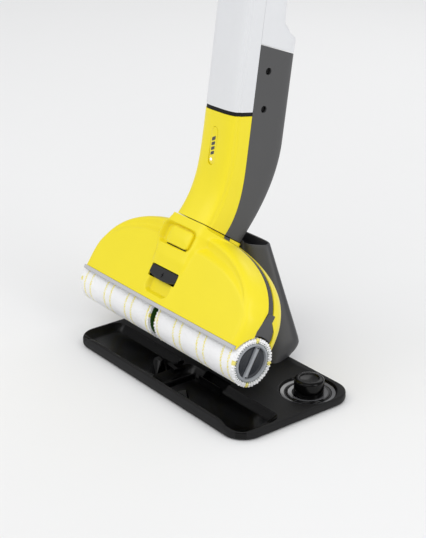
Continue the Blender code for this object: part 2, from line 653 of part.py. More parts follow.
def make_drive(head_body, roller_body, motor_body):
    for side, name in ((-1, "drive_leg_left"), (1, "drive_leg_right")):
        leg = loft(name, [[head(x * side, u, w) for u, w in leg_shape(15.8, 9.6)]
                          for x in (0.15, 4.4)], head_body, "black")
        boss = turned(f"bearing_boss_{side}", disc_profile(12.0, 3.0, 9.0),
                      lambda a, b, x, s=side: head(x * s, a, b), head_body)
        change(leg, boss, "UNION")
        hollow = loft(f"leg_hollow_{side}", [[head(x * side, u, w)
                                              for u, w in leg_shape(14.3, 7.9)]
                                             for x in (-1.0, 2.9)], head_body)
        change(leg, hollow)
        bore = turned(f"bearing_bore_{side}", disc_profile(9.3, 2.0, 12.0),
                      lambda a, b, x, s=side: head(x * s, a, b), head_body)
        change(leg, bore)
        if side > 0:
            change(leg, turned("motor_shaft_bore", disc_profile(2.4, 2.0, 12.0), motor_axis,
                               head_body, segments=12))
    for side, suffix in ((-1, "left"), (1, "right")):
        def beside(a, b, x, side=side):
            return head(x * side, a, b)

        turned(f"roller_bearing_{suffix}", disc_profile(9.0, 4.2, 8.4, 4.3), beside, head_body,
               "steel", 24)
        hub = turned(f"drive_hub_{suffix}", disc_profile(8.8, 9.4, 46.0, 4.3), beside, roller_body,
                     "cap_grey", 24)
        for k in range(3):
            angle = 2 * math.pi * k / 3
            ca, sa = math.cos(angle), math.sin(angle)

            def groove(a, b, x, side=side, ca=ca, sa=sa):
                return head(x * side, a * ca - b * sa, a * sa + b * ca)

            change(hub, block(f"hub_groove_{suffix}_{k}", groove, (7.4, -1.2, 12), (12, 1.2, 48),
                              roller_body))
    outer = leg_shape(ROLLER_PITCH_R + 1.4, MOTOR_PITCH_R + 1.4)
    inner = leg_shape(ROLLER_PITCH_R, MOTOR_PITCH_R)
    loft("drive_belt", [[head(-2.0, u, w) for u, w in outer], [head(2.0, u, w) for u, w in outer],
                        [head(2.0, u, w) for u, w in inner], [head(-2.0, u, w) for u, w in inner]],
         head_body, "rubber", loop=True)
    turned("roller_pulley", disc_profile(ROLLER_PITCH_R - GAP, -2.4, 2.4, 4.3), roller_axis,
           roller_body, "cap_grey", 36)
    turned("drive_shaft", disc_profile(4.0, -52.0, 52.0), roller_axis, roller_body, "steel", 16)
    pulley_r = MOTOR_PITCH_R - GAP
    turned("motor_pulley", [(0, -2.4), (pulley_r, -2.4), (pulley_r, 2.4), (1.5, 2.4), (1.5, 24.0),
                            (0, 24.0)], motor_axis, motor_body, "steel", 20)
    turned("drive_motor", [(2.2, 10.0), (5.5, 10.0), (5.5, 12.5), (MOTOR_R - 1, 12.5),
                           (MOTOR_R, 14.0), (MOTOR_R, 58.0), (MOTOR_R - 1.5, 59.5), (6.0, 59.5),
                           (6.0, 61.0), (0.0, 61.0), (0.0, 25.0), (2.2, 25.0)],
           motor_axis, head_body, "motor_can", 28)
    seat = turned("motor_seat", disc_profile(MOTOR_R + 2.4, 28.0, 40.0, MOTOR_R + GAP), motor_axis,
                  head_body, "black", 28)
    foot = block("seat_foot", head, (28, MOTOR_U + MOTOR_R - 0.3, BAND_FRONT),
                 (40, MOTOR_U + MOTOR_R + 7.0, BAND_FRONT + 2.4), head_body)
    change(seat, foot, "UNION")


def make_roller(side, body):
    def along(a, b, x):
        return head(x * side, a, b)

    suffix = "left" if side < 0 else "right"
    core = [(12.6, 5.4), (25.2, 5.4), (25.2, 149.7), (22.3, 149.7), (22.3, 40.6), (9.2, 40.6),
            (9.2, 37.8), (22.3, 37.8), (22.3, 8.2), (12.6, 8.2)]
    turned(f"roller_core_{suffix}", core, along, body, "core_green", 32)
    turned(f"roller_sleeve_{suffix}", [(25.5, ROLLER_GAP), (27.9, ROLLER_GAP),
                                       (ROLLER_R, ROLLER_GAP + 1.2), (ROLLER_R, ROLLER_HALF - 1.2),
                                       (27.9, ROLLER_HALF), (25.5, ROLLER_HALF)],
           along, body, "microfibre", 36)
    cap = turned(f"end_cap_{suffix}", [(0, 143.0), (22.0, 143.0), (22.0, 150.0), (25.0, 150.0),
                                       (25.0, 151.4), (23.4, 152.2), (19.8, 152.2), (19.4, 149.2),
                                       (0, 149.2)], along, body, "cap_grey", 36)
    lean = math.radians(-16)

    def grip_place(a, b, x):
        return along(a * math.cos(lean) - b * math.sin(lean),
                     a * math.sin(lean) + b * math.cos(lean), x)

    grip = block(f"cap_grip_{suffix}", grip_place, (-19.6, -2.6, 148.9), (19.6, 2.6, 151.9), body)
    change(cap, grip, "UNION")


def make_head_insides(head_body):
    tank_parts = (((-134, 32.2, -24.3), (134, 46.6, -7.0)),
                  ((-118, 45, -24.3), (-79, 71, -7.0)), ((79, 45, -24.3), (118, 71, -7.0)))
    tank = block("dirty_water_tank", head, *tank_parts[0], head_body, "dark_grey")
    for number, (low, high) in enumerate(tank_parts[1:]):
        change(tank, block(f"tank_chamber_{number}", head, low, high, head_body), "UNION")
    hollow = block("tank_hollow", head, (-132.2, 34, -22.5), (132.2, 44.8, -8.8), head_body)
    for number, side in enumerate((-1, 1)):
        left, right = sorted((side * 80.8, side * 116.2))
        change(tank, block(f"chamber_hollow_{number}", head, (left, 40, -22.5),
                           (right, 69.2, -8.8), head_body))
        slot_left, slot_right = sorted((side * 96.0, side * 104.0))
        change(tank, block(f"tank_spout_{number}", head, (slot_left, 60, -20), (slot_right, 75, -11),
                           head_body))
    change(tank, hollow)
    change(tank, block("tank_leg_notch", head, (-9, 30, -15.6), (9, 50, -2), head_body))
    plug = block("tank_leg_wall", head, (-11, 32.6, -17.6), (11, 46.2, -16.0), head_body)
    change(tank, plug, "UNION")
    lip = [(25.7, 14.7), (27.2, 14.2), (35.0, 14.8), (35.0, 17.6), (29.0, 18.0)]
    loft("wringer_bar", [[head(x, u, w) for u, w in lip] for x in (-141.0, 141.0)], head_body,
         "rubber", smooth=0)
    bar = turned("water_bar", disc_profile(2.5, -120, 120),
                 lambda a, b, x: head(x, 40 + a, 22 + b), head_body, "black", 12)
    change(bar, turned("water_bar_port", disc_profile(1.2, -2.0, 4.0),
                       lambda a, b, h: head(14 + a, 40 + h, 22 + b), head_body, segments=8))
    route = smooth_route([head(0, 93, 10), head(2, 86, 15), head(5, 74, 22), head(9, 60, 25.5),
                          head(13, 49, 23), head(14, 42.9, 22)], 4)
    tube_along("water_hose", route, 2.2, head_body, "rubber")
    turned("swivel_socket", [(14.3, 94.0), (18.0, 94.0), (18.0, 114.2), (14.3, 114.2)],
           swivel, head_body, "dark_grey", 28)
    turned("charging_socket", [(2.8, 35.2), (5.2, 35.2), (5.2, 26.0), (0, 26.0), (0, 27.5),
                               (2.8, 27.5)], lambda a, b, h: head(a, 42 + b, h), head_body,
           "black", 20)
    battery = block("battery_pack", head, (-74, 48.5, -3), (-12, 80, 27), head_body, "cell_blue")
    soften(battery, 3.0, 2)


# --- stick --------------------------------------------------------------------------------------
def front_wall(s, thickness):
    """Right half of the front shell's section (x, d), outer or inner."""
    front = front_depth(s) - thickness
    half = STICK_HALF - thickness
    return [(half, SHELL_SPLIT), (half, front - 7.0), (half - 1.4, front - 3.4),
            (half - 7.5, front), (half - 17.0, front + 1.5)]


def back_wall(s, thickness, depth=None):
    """Right half of the rear housing's section."""
    back = (depth or back_depth(s)) - thickness
    half = STICK_HALF - thickness
    return [(half, -SHELL_SPLIT), (half, -back + 14), (half - 1.6, -back + 6),
            (half - 6.5, -back + 1), (half - 14.0, -back)]


def half_shell(section, stations, thickness=WALL):
    """Rings of a U-shaped wall around the stick."""
    rings = []
    for s in stations:
        outer, inner = section(s, 0.0), section(s, thickness)
        shape = (outer + [(-x, d) for x, d in reversed(outer)]
                 + [(-x, d) for x, d in inner] + list(reversed(inner)))
        rings.append([stick(x, d, s) for x, d in shape])
    return rings


def spread(start, stop, count):
    return [start + (stop - start) * k / (count - 1) for k in range(count)]


def make_stick_lower(body):
    neck = loft("neck_shell", half_shell(front_wall, spread(0.0, NECK_END, 12)), body, "yellow")
    change(neck, slot_cut("window_hole", 5.6, 22.6, PILL_MIDDLE, 24.0, 40.0, body))
    seat = slot_cut("status_window", 5.2, 22.2, PILL_MIDDLE, 25.4, 28.3, body)
    seat.data.materials.append(make_material("yellow"))
    loft("seam_ring", half_shell(lambda s, t: front_wall(s, t + 0.5),
                                 (NECK_END + GAP, SHELL_START - GAP)), body, "black")
    housing = loft("lower_housing", half_shell(back_wall, [0.0, 12, 24, 36, 50, 64, 80, 95, 110,
                                                           165, 228]), body, "dark_grey")
    top_cut = [[stick(x, d, s) for x, d, s in
                ((x, 6, HOUSING_FRONT_TOP + 3.2), (x, -70, HOUSING_BACK_TOP - 2.6),
                 (x, -70, 260), (x, 6, 260))] for x in (-40, 40)]
    change(housing, loft("housing_top_cut", top_cut, body))
    for name, s in (("housing_bolt_low", BOLT_LOW), ("housing_bolt_high", BOLT_HIGH)):
        def across(a, b, x, s=s):
            return stick(x, BOLT_DEPTH + a, s + b)

        change(housing, turned(f"{name}_bore", disc_profile(3.3, -36, 36), across, body,
                               segments=16))
        turned(name, [(0, -27.2), (2.9, -27.2), (2.9, -25.4), (1.8, -25.4), (1.8, 25.4),
                      (2.9, 25.4), (2.9, 27.2), (0, 27.2)], across, body, "steel", 14)
    floor_ring = []
    for s in (0.9, 3.5):
        half = [(STICK_HALF - WALL - GAP, 0.0), (STICK_HALF - WALL - GAP, front_depth(0) - 12),
                (STICK_HALF - 10, front_depth(0) - 4)]
        back = [(STICK_HALF - 12, -back_depth(0) + 4.6), (STICK_HALF - WALL - GAP, -back_depth(0) + 17)]
        right = back + half
        floor_ring.append([stick(x, d, s) for x, d in right]
                          + [stick(-x, d, s) for x, d in reversed(right)])
    floor = loft("neck_floor", floor_ring, body, "dark_grey", smooth=0)
    change(floor, turned("floor_bore", disc_profile(14.3, 110, 125), swivel, body))
    turned("swivel_spindle", [(6.0, 96.5), (14.0, 96.5), (14.0, 119.6), (20.0, 119.6),
                              (20.0, 122.0), (6.0, 122.0)], swivel, body, "cap_grey", 28)
    route = smooth_route([head(0, 99, 8), head(0, 112, 8), head(0, 124, 7), stick(0, 0, 22),
                          stick(0, -3, 40)], 3)
    tube_along("feed_hose", route, 2.2, body, "rubber")
    turned("water_pump", [(0, 42), (2.4, 42), (2.4, 46), (11.5, 46), (12.0, 47), (12.0, 82),
                          (9.0, 84), (0, 84)], lambda a, b, s: stick(a, -6 + b, s), body, "black",
           20)


def slot_cut(name, half_width, half_length, middle, low, high, body):
    """Pill-shaped solid across the front shell."""
    rings = []
    for d in (low, high):
        ring = []
        for end in (1, -1):
            for k in range(7):
                angle = math.pi * k / 6 + (0 if end > 0 else math.pi)
                ring.append(stick(half_width * math.cos(angle), d,
                                  middle + end * (half_length - half_width)
                                  + half_width * math.sin(angle)))
        rings.append(ring)
    return loft(name, rings, body)


def cradle_depth(s):
    """Outer depth of the tank cradle: a full foot, then a finger recess."""
    return ramp(s, ((206.0, 57.6), (231.0, 58.4), (240.0, 47.0), (250.0, 39.3), (268.0, 37.8),
                    (288.0, 40.5), (TANK_START - 1.0, 52.0)))


def tank_depth(s):
    return ramp(s, ((TANK_START, 53.5), (TANK_START + 14, 58.0), (TANK_END - 40, 58.0),
                    (TANK_END, 50.0)))


def make_stick_upper(body, tank_body, tank_cap_body):
    loft("upper_shell", half_shell(front_wall, (SHELL_START, 220, SHELL_END)), body, "light_grey")
    stations = [206.0, 214.0, 231.0, 240.0, 250.0, 268.0, 288.0, TANK_START - 1.0]
    cradle = loft("tank_cradle", half_shell(lambda s, t: back_wall(s, t, cradle_depth(s)),
                                            stations), body, "light_grey")
    low_cut = [[stick(x, d, s) for x, d, s in
                ((x, 6, HOUSING_FRONT_TOP + 4.0), (x, -70, HOUSING_BACK_TOP - 1.8),
                 (x, -70, 190), (x, 6, 190))] for x in (-40, 40)]
    change(cradle, loft("cradle_low_cut", low_cut, body))
    shelf = [[stick(x, d, s) for x, d in ((26.4, -1), (26.4, -46), (-26.4, -46), (-26.4, -1))]
             for s in (TANK_START - 6.0, TANK_START - 3.4)]
    change(cradle, loft("cradle_shelf", shelf, body), "UNION")
    rings = []
    for s in spread(TANK_START, TANK_END, 7):
        shape = back_wall(s, 0.0, tank_depth(s))
        shape = [(x, min(d, -1.2)) for x, d in shape]
        rings.append([stick(x, d, s) for x, d in shape]
                     + [stick(-x, d, s) for x, d in reversed(shape)])
    tank = loft("fresh_water_tank", rings, tank_body, "tank")
    hollow = [[stick(x, d, s) for x, d in ((27.2, -3.4), (27.2, -42), (18, -50), (-18, -50),
                                           (-27.2, -42), (-27.2, -3.4))]
              for s in (TANK_START + 2.4, TANK_END - 4)]
    change(tank, loft("tank_inside", hollow, tank_body))

    def neck_place(a, b, h):
        return stick(a, -54.5 - h, TANK_END - 62 + b)

    change(tank, turned("filler_hole", disc_profile(10.0, -8, 12), neck_place, tank_body,
                        segments=24))
    turned("tank_cap", [(0, 2.0), (8.6, 2.0), (8.6, 5.5), (14.0, 5.5), (15.0, 6.5), (15.0, 11.0),
                        (14.0, 12.0), (0, 12.0)], neck_place, tank_cap_body, "dark_grey", 28)
    rings = []
    for s, t in ((SHELL_END + GAP, 0.0), (SHELL_END + 12, 0.0), (SHELL_END + 34, 0.45),
                 (TUBE_START + 14, 1.0)):
        back = back_wall(s, 0.0, 50.0)
        shape = ([(x, d) for x, d in reversed(back)] + front_wall(s, 0.0))
        full = shape + [(-x, d) for x, d in reversed(shape)]
        ring = []
        for x, d in full:
            angle = math.atan2(d + 10.0, x)
            round_x, round_d = 17.5 * math.cos(angle), -6.0 + 17.5 * math.sin(angle)
            ring.append(stick(x + (round_x - x) * t, d + (round_d - d) * t, s))
        rings.append(ring)
    upper = loft("upper_housing", rings, body, "dark_grey")
    change(upper, turned("tube_bore", disc_profile(13.3, TUBE_START - 22, TUBE_START + 40),
                         lambda a, b, s: stick(a, -6 + b, s), body, segments=24))
    turned("handle_tube", disc_profile(13.0, TUBE_START - 21.5, TUBE_END, 11.4),
           lambda a, b, s: stick(a, -6 + b, s), body, "steel", 24)


def grip_ring(t, scale=1.0, count=20):
    """Section of the grip at t from 0 to 1, bending back towards the user."""
    steps = 24
    start_y, start_z = stick(0, -6, TUBE_END + GAP).yz
    y, z = start_y / MM, start_z / MM
    lean = math.radians(STICK_LEAN)
    for step in range(steps):
        along = (step + 0.5) / steps * t
        lean = math.radians(STICK_LEAN + 38.0 * along ** 1.5)
        y += math.sin(lean) * GRIP_LENGTH * t / steps
        z += math.cos(lean) * GRIP_LENGTH * t / steps
    lean = math.radians(STICK_LEAN + 38.0 * t ** 1.5)
    swell = 1.0 + 0.12 * math.sin(math.pi * min(t * 1.4, 1.0))
    wide, deep = 15.0 * swell * scale, 18.0 * swell * scale
    ring = []
    for k in range(count):
        angle = 2 * math.pi * k / count
        d = deep * math.sin(angle)
        ring.append(world(wide * math.cos(angle), y - d * math.cos(lean), z + d * math.sin(lean)))
    return ring


def make_grip(body, power_body):
    rings = [grip_ring(t) for t in (0.0, 0.12, 0.3, 0.5, 0.7, 0.86, 0.95)]
    rings += [grip_ring(0.985, 0.8), grip_ring(1.0, 0.4)]
    grip = loft("handle_grip", rings, body, "dark_grey")
    place = power_place()
    change(grip, turned("power_hole", disc_profile(7.4, 9.0, 30.0), place, body, segments=20))
    turned("power_button", [(0, 13.4), (7.0, 13.4), (7.0, 20.6), (6.2, 21.6), (0, 21.6)], place,
           power_body, "yellow", 20)


def power_axis():
    """Middle and outward direction of the power button, on the grip's front."""
    ring = grip_ring(0.16, 1.0, 4)
    front, back = ring[1], ring[3]
    return (front + back) / 2, (front - back).normalized()


def power_place():
    middle, out = power_axis()
    across = Vector((1, 0, 0))
    up = out.cross(across)

    def place(a, b, h):
        return middle + (across * a + up * b + out * h) * MM

    return place


def main():
    for thing in list(bpy.data.objects):
        bpy.data.objects.remove(thing)
    station = make_body("parking_station", world(0, 0, 0))
    cap_body = make_body("measuring_cap_lift", world(CAP_X, CAP_Y, CAP_TOP), station)
    head_body = make_body("machine_lift", world(0, 0, ROLLER_Z), station)
    roller_body = make_body("roller_spin", head(0, 0, 0), head_body)
    motor_body = make_body("motor_spin", head(0, MOTOR_U, 0), head_body)
    left_body = make_body("left_roller_pull", head(0, 0, 0), roller_body)
    right_body = make_body("right_roller_pull", head(0, 0, 0), roller_body)
    cover_body = make_body("cover_lift", head(0, 60, SADDLE), head_body)
    button_body = make_body("button_push", head(0, 89.7, SADDLE), cover_body)
    flap_body = make_body("flap_turn", head(0, 48.0, 38.6), cover_body)
    stick_body = make_body("neck_swivel", swivel(0, 0, BOSS_TOP), head_body)
    tank_body = make_body("tank_slide", stick(0, -30, TANK_START), stick_body)
    tank_cap_body = make_body("tank_cap_turn", stick(0, -60, TANK_END - 62), tank_body)
    power_body = make_body("power_push", power_axis()[0], stick_body)

    make_tray(station)
    make_tower(station)
    make_measuring_cap(station, cap_body)
    make_front_cover(cover_body)
    make_cover_details(cover_body, button_body, flap_body)
    make_rear_cover(head_body)
    make_chassis(head_body)
    make_drive(head_body, roller_body, motor_body)
    make_roller(-1, left_body)
    make_roller(1, right_body)
    make_head_insides(head_body)
    make_stick_lower(stick_body)
    make_stick_upper(stick_body, tank_body, tank_cap_body)
    make_grip(stick_body, power_body)


main()
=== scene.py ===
"""Looks of a twin-roller wet dry floor scrubber on its parking station.

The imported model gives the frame: its bodies, its nodes and their places. Sizes here are millimetres
and become metres in the placing functions. +Z is up, the machine faces -Y and X runs along its
rollers.
"""

import json
import logging
import math
from dataclasses import dataclass, field
from enum import Enum
from typing import Any, Callable, Iterable, Sequence

import bmesh
import bpy
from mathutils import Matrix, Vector

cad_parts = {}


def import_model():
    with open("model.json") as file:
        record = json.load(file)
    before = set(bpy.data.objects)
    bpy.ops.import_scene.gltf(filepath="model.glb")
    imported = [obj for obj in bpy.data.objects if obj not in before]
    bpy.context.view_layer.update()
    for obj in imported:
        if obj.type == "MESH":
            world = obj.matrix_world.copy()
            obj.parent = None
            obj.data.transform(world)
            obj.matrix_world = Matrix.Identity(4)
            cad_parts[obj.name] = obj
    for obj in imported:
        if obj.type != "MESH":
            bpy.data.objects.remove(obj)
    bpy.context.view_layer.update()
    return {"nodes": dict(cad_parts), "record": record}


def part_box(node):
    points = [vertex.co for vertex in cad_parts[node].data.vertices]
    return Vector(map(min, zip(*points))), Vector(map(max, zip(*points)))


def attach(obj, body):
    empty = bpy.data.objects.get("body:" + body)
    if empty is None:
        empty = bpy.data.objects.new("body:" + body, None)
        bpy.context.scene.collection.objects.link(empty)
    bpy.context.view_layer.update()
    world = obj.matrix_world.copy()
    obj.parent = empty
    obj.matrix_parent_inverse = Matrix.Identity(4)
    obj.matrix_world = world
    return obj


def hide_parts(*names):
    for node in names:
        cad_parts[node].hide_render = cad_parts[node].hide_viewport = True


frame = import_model()

MM = 0.001
LOG = logging.getLogger("scrubber")

Pair = tuple[float, float]
Ring = list[Vector]
Place = Callable[[float, float, float], Vector]


# --- numbers --------------------------------------------------------------------------------------
def ease(value: float, low: float, high: float) -> float:
    """Smooth step from 0 at low to 1 at high."""
    t = min(max((value - low) / (high - low), 0.0), 1.0)
    return t * t * (3 - 2 * t)


def soft_max(a: float, b: float, blend: float) -> float:
    """The larger of two heights, with a fillet of about the blend's size where they cross."""
    return 0.5 * (a + b + math.sqrt((a - b) ** 2 + blend * blend))


def ramp(value: float, stops: Sequence[Pair]) -> float:
    """Piecewise value through (input, output) stops, eased between them."""
    for (a, fa), (b, fb) in zip(stops, stops[1:]):
        if value <= b:
            return fa + (fb - fa) * ease(value, a, b)
    return stops[-1][1]


def box_distance(x: float, y: float, half: Pair, radius: float) -> float:
    """Signed distance to a rounded rectangle around the origin, negative inside."""
    dx, dy = abs(x) - half[0] + radius, abs(y) - half[1] + radius
    return math.hypot(max(dx, 0.0), max(dy, 0.0)) + min(max(dx, dy), 0.0) - radius


def spread(start: float, stop: float, count: int) -> list[float]:
    """Evenly spaced values with both ends."""
    return [start + (stop - start) * k / (count - 1) for k in range(count)]


def even(points: Sequence[Pair], count: int) -> list[Pair]:
    """Points of an open outline moved to equal steps along it."""
    lengths = [0.0]
    for a, b in zip(points, points[1:]):
        lengths.append(lengths[-1] + math.dist(a, b))
    result, place = [], 0
    for k in range(count):
        target = lengths[-1] * k / (count - 1)
        while place < len(points) - 2 and lengths[place + 1] < target:
            place += 1
        span = max(lengths[place + 1] - lengths[place], 1e-9)
        t = (target - lengths[place]) / span
        a, b = points[place], points[place + 1]
        result.append((a[0] + (b[0] - a[0]) * t, a[1] + (b[1] - a[1]) * t))
    return result


def cut_corners(points: Sequence[Pair], times: int = 2) -> list[Pair]:
    """Round an open outline by cutting its corners again and again; its ends stay."""
    points = list(points)
    for _ in range(times):
        cut = [points[0]]
        for a, b in zip(points, points[1:]):
            cut.append((a[0] * 0.75 + b[0] * 0.25, a[1] * 0.75 + b[1] * 0.25))
            cut.append((a[0] * 0.25 + b[0] * 0.75, a[1] * 0.25 + b[1] * 0.75))
        points = [*cut, points[-1]]
    return points


def curve_through(stops: Sequence[Sequence[float]], steps: int) -> list[tuple[float, ...]]:
    """Catmull-Rom values through rows of numbers."""
    rows = [list(row) for row in stops]
    first = [2 * a - b for a, b in zip(rows[0], rows[1])]
    last = [2 * a - b for a, b in zip(rows[-1], rows[-2])]
    padded = [first, *rows, last]
    result = []
    for a, b, c, d in zip(padded, padded[1:], padded[2:], padded[3:]):
        for k in range(steps):
            t = k / steps
            result.append(tuple(
                0.5 * (2 * q + (r - p) * t + (2 * p - 5 * q + 4 * r - s) * t * t
                       + (3 * q - p - 3 * r + s) * t ** 3)
                for p, q, r, s in zip(a, b, c, d)))
    result.append(tuple(rows[-1]))
    return result


def rounded_rectangle(left: float, right: float, low: float, high: float, radius: float,
                      arc: int = 10) -> list[Pair]:
    """Closed outline of a rectangle with round corners, counter-clockwise."""
    points = []
    corners = ((right - radius, low + radius, -90), (right - radius, high - radius, 0),
               (left + radius, high - radius, 90), (left + radius, low + radius, 180))
    for cx, cy, start in corners:
        for k in range(arc + 1):
            angle = math.radians(start + 90 * k / arc)
            points.append((cx + radius * math.cos(angle), cy + radius * math.sin(angle)))
    return points


# --- places ---------------------------------------------------------------------------------------
def world(x: float, y: float, z: float) -> Vector:
    """A point of the world from millimetres."""
    return Vector((x, y, z)) * MM


@dataclass(frozen=True)
class HeadFrame:
    """Axes of the leaning floor head: x across, u up along the head, w forward out of its face."""

    roller_height: float
    tilt: float = math.radians(34.0)

    def at(self, x: float, u: float, w: float) -> Vector:
        """A point of the head."""
        sin, cos = math.sin(self.tilt), math.cos(self.tilt)
        return world(x, u * sin - w * cos, self.roller_height + u * cos + w * sin)

    def along_roller(self, a: float, b: float, x: float) -> Vector:
        """A point around the roller's axis, with the axis as third direction."""
        return self.at(x, a, b)


@dataclass(frozen=True)
class StickFrame:
    """The stick's guide line: it curves up out of the head's boss and then leans back, straight."""

    seam: Pair = (58.5, 152.5)
    lean: float = 8.2
    neck_turn: float = 36.0
    neck_length: float = 95.0
    section_turn: float = 25.8
    steps: int = 40

    def path(self, s: float) -> Pair:
        """Point of the guide line in the Y-Z plane, s along it."""
        bent = min(s, self.neck_length)
        y, z = self.seam
        for step in range(self.steps):
            along = (step + 0.5) * bent / self.steps
            turn = self.neck_turn * (1 - along / self.neck_length) ** 2
            angle = math.radians(self.lean + turn)
            y += math.sin(angle) * bent / self.steps
            z += math.cos(angle) * bent / self.steps
        rest, angle = s - bent, math.radians(self.lean)
        return y + rest * math.sin(angle), z + rest * math.cos(angle)

    def at(self, x: float, d: float, s: float) -> Vector:
        """A point of the stick: d is forward of the guide line, in the section at s."""
        y, z = self.path(s)
        angle = math.radians(self.lean + self.section_turn * max(0.0, 1 - max(s, 0.0) / 110.0))
        return world(x, y - d * math.cos(angle), z + d * math.sin(angle))


def middle_height(node: str) -> float:
    """Height in millimetres of the middle of a CAD node."""
    low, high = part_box(node)
    return (low.z + high.z) / 2 / MM


HEAD = HeadFrame(middle_height("roller_sleeve_left"))
STICK = StickFrame()


# --- shader nodes ---------------------------------------------------------------------------------
class Value:
    """A number on a shader socket that takes part in Python arithmetic."""

    def __init__(self, tree: "ShaderTree", socket: Any) -> None:
        """Wrap a socket of a tree."""
        self.tree, self.socket = tree, socket

    def math(self, operation: str, *others: Any) -> "Value":
        """Another number worked out from this one."""
        values = {k: v for k, v in enumerate((self, *others))}
        return Value(self.tree, self.tree.node("ShaderNodeMath", {"operation": operation},
                                               values).outputs[0])

    def _first(self, operation: str, other: Any) -> "Value":
        """The same with this number second."""
        return Value(self.tree, self.tree.node("ShaderNodeMath", {"operation": operation},
                                               {0: other, 1: self}).outputs[0])

    def __add__(self, other: Any) -> "Value":
        """self + other"""
        return self.math("ADD", other)

    def __radd__(self, other: Any) -> "Value":
        """other + self"""
        return self._first("ADD", other)

    def __sub__(self, other: Any) -> "Value":
        """self - other"""
        return self.math("SUBTRACT", other)

    def __rsub__(self, other: Any) -> "Value":
        """other - self"""
        return self._first("SUBTRACT", other)

    def __mul__(self, other: Any) -> "Value":
        """self * other"""
        return self.math("MULTIPLY", other)

    def __rmul__(self, other: Any) -> "Value":
        """other * self"""
        return self._first("MULTIPLY", other)

    def __truediv__(self, other: Any) -> "Value":
        """self / other"""
        return self.math("DIVIDE", other)

    def __abs__(self) -> "Value":
        """Size of the number."""
        return self.math("ABSOLUTE")

    def step(self, low: float, high: float) -> "Value":
        """Smooth step from 0 at low to 1 at high; a low above high steps down."""
        node = self.tree.node("ShaderNodeMapRange", {"interpolation_type": "SMOOTHSTEP"},
                              {"Value": self, "From Min": min(low, high),
                               "From Max": max(low, high),
                               "To Min": 0.0 if low < high else 1.0,
                               "To Max": 1.0 if low < high else 0.0})
        return Value(self.tree, node.outputs["Result"])


class ShaderTree:
    """The nodes of one material."""

    def __init__(self, name: str) -> None:
        """Make a material with an empty Principled shader."""
        self.material = bpy.data.materials.new(name)
        self.material.use_nodes = True
        self.tree = self.material.node_tree
        self.shader = self.tree.nodes["Principled BSDF"]

    def node(self, kind: str, settings: dict[str, Any] | None = None,
             values: dict[Any, Any] | None = None) -> Any:
        """Add a node.

        Args:
            kind: Blender's type of the node.
            settings: properties that are set first, such as a Math node's operation.
            values: socket name or number, and what it holds: a number, a colour or a link.

        Returns:
            The node.
        """
        node = self.tree.nodes.new(kind)
        for key, setting in (settings or {}).items():
            setattr(node, key, setting)
        for key, value in (values or {}).items():
            self.feed(node.inputs[key], value)
        return node

    def feed(self, socket: Any, value: Any) -> None:
        """Link or set one socket."""
        if isinstance(value, Value):
            self.tree.links.new(value.socket, socket)
        elif isinstance(value, bpy.types.NodeSocket):
            self.tree.links.new(value, socket)
        else:
            socket.default_value = value

    def place(self) -> tuple[Value, Value, Value]:
        """Object coordinates in metres, one number each."""
        where = self.node("ShaderNodeTexCoord").outputs["Object"]
        parts = self.node("ShaderNodeSeparateXYZ", values={0: where})
        x, y, z = (Value(self, parts.outputs[k]) for k in range(3))
        return x, y, z

    def noise(self, size: float, detail: float = 2.0, stretch: Sequence[float] = (1, 1, 1)
              ) -> Value:
        """Cloudy number from 0 to 1.

        Args:
            size: size of its patches in millimetres.
            detail: how many finer layers lie on it.
            stretch: factors that squeeze it along X, Y and Z.

        Returns:
            The number.
        """
        where = self.node("ShaderNodeTexCoord").outputs["Object"]
        scaled = self.node("ShaderNodeVectorMath", {"operation": "MULTIPLY"},
                           {0: where, 1: tuple(stretch)}).outputs[0]
        node = self.node("ShaderNodeTexNoise", {"noise_dimensions": "3D"},
                         {"Vector": scaled, "Scale": 1.0 / (size * MM), "Detail": detail,
                          "Roughness": 0.55})
        return Value(self, node.outputs[0])

    def feed_mix(self, factor: Any, first: Sequence[float], second: Sequence[float]) -> Any:
        """A mix of two plain colours."""
        return self.mix_colours(factor, (*first, 1.0), (*second, 1.0))

    def mix_colours(self, factor: Any, first: Any, second: Any) -> Any:
        """A colour between two colours or links."""
        node = self.node("ShaderNodeMix", {"data_type": "RGBA"})
        colours = [s for s in node.inputs if s.type == "RGBA"]
        self.feed(node.inputs[0], factor)
        self.feed(colours[0], first)
        self.feed(colours[1], second)
        return next(o for o in node.outputs if o.type == "RGBA")

    def bump(self, height: Value, depth: float, strength: float = 1.0) -> None:
        """Roughen the surface by a height from 0 to 1 that stands depth millimetres high."""
        node = self.node("ShaderNodeBump", None,
                         {"Strength": strength, "Distance": depth * MM, "Height": height})
        self.feed(self.shader.inputs["Normal"], node.outputs["Normal"])

    def set(self, **values: Any) -> None:
        """Set or feed the shader's sockets; an underscore stands for a space."""
        for key, value in values.items():
            self.feed(self.shader.inputs[key.replace("_", " ")], value)


# --- finishes -------------------------------------------------------------------------------------
def shade_of(colour: Sequence[float], factor: float) -> tuple[float, float, float]:
    """The colour made lighter or darker."""
    return tuple(min(c * factor, 1.0) for c in colour)


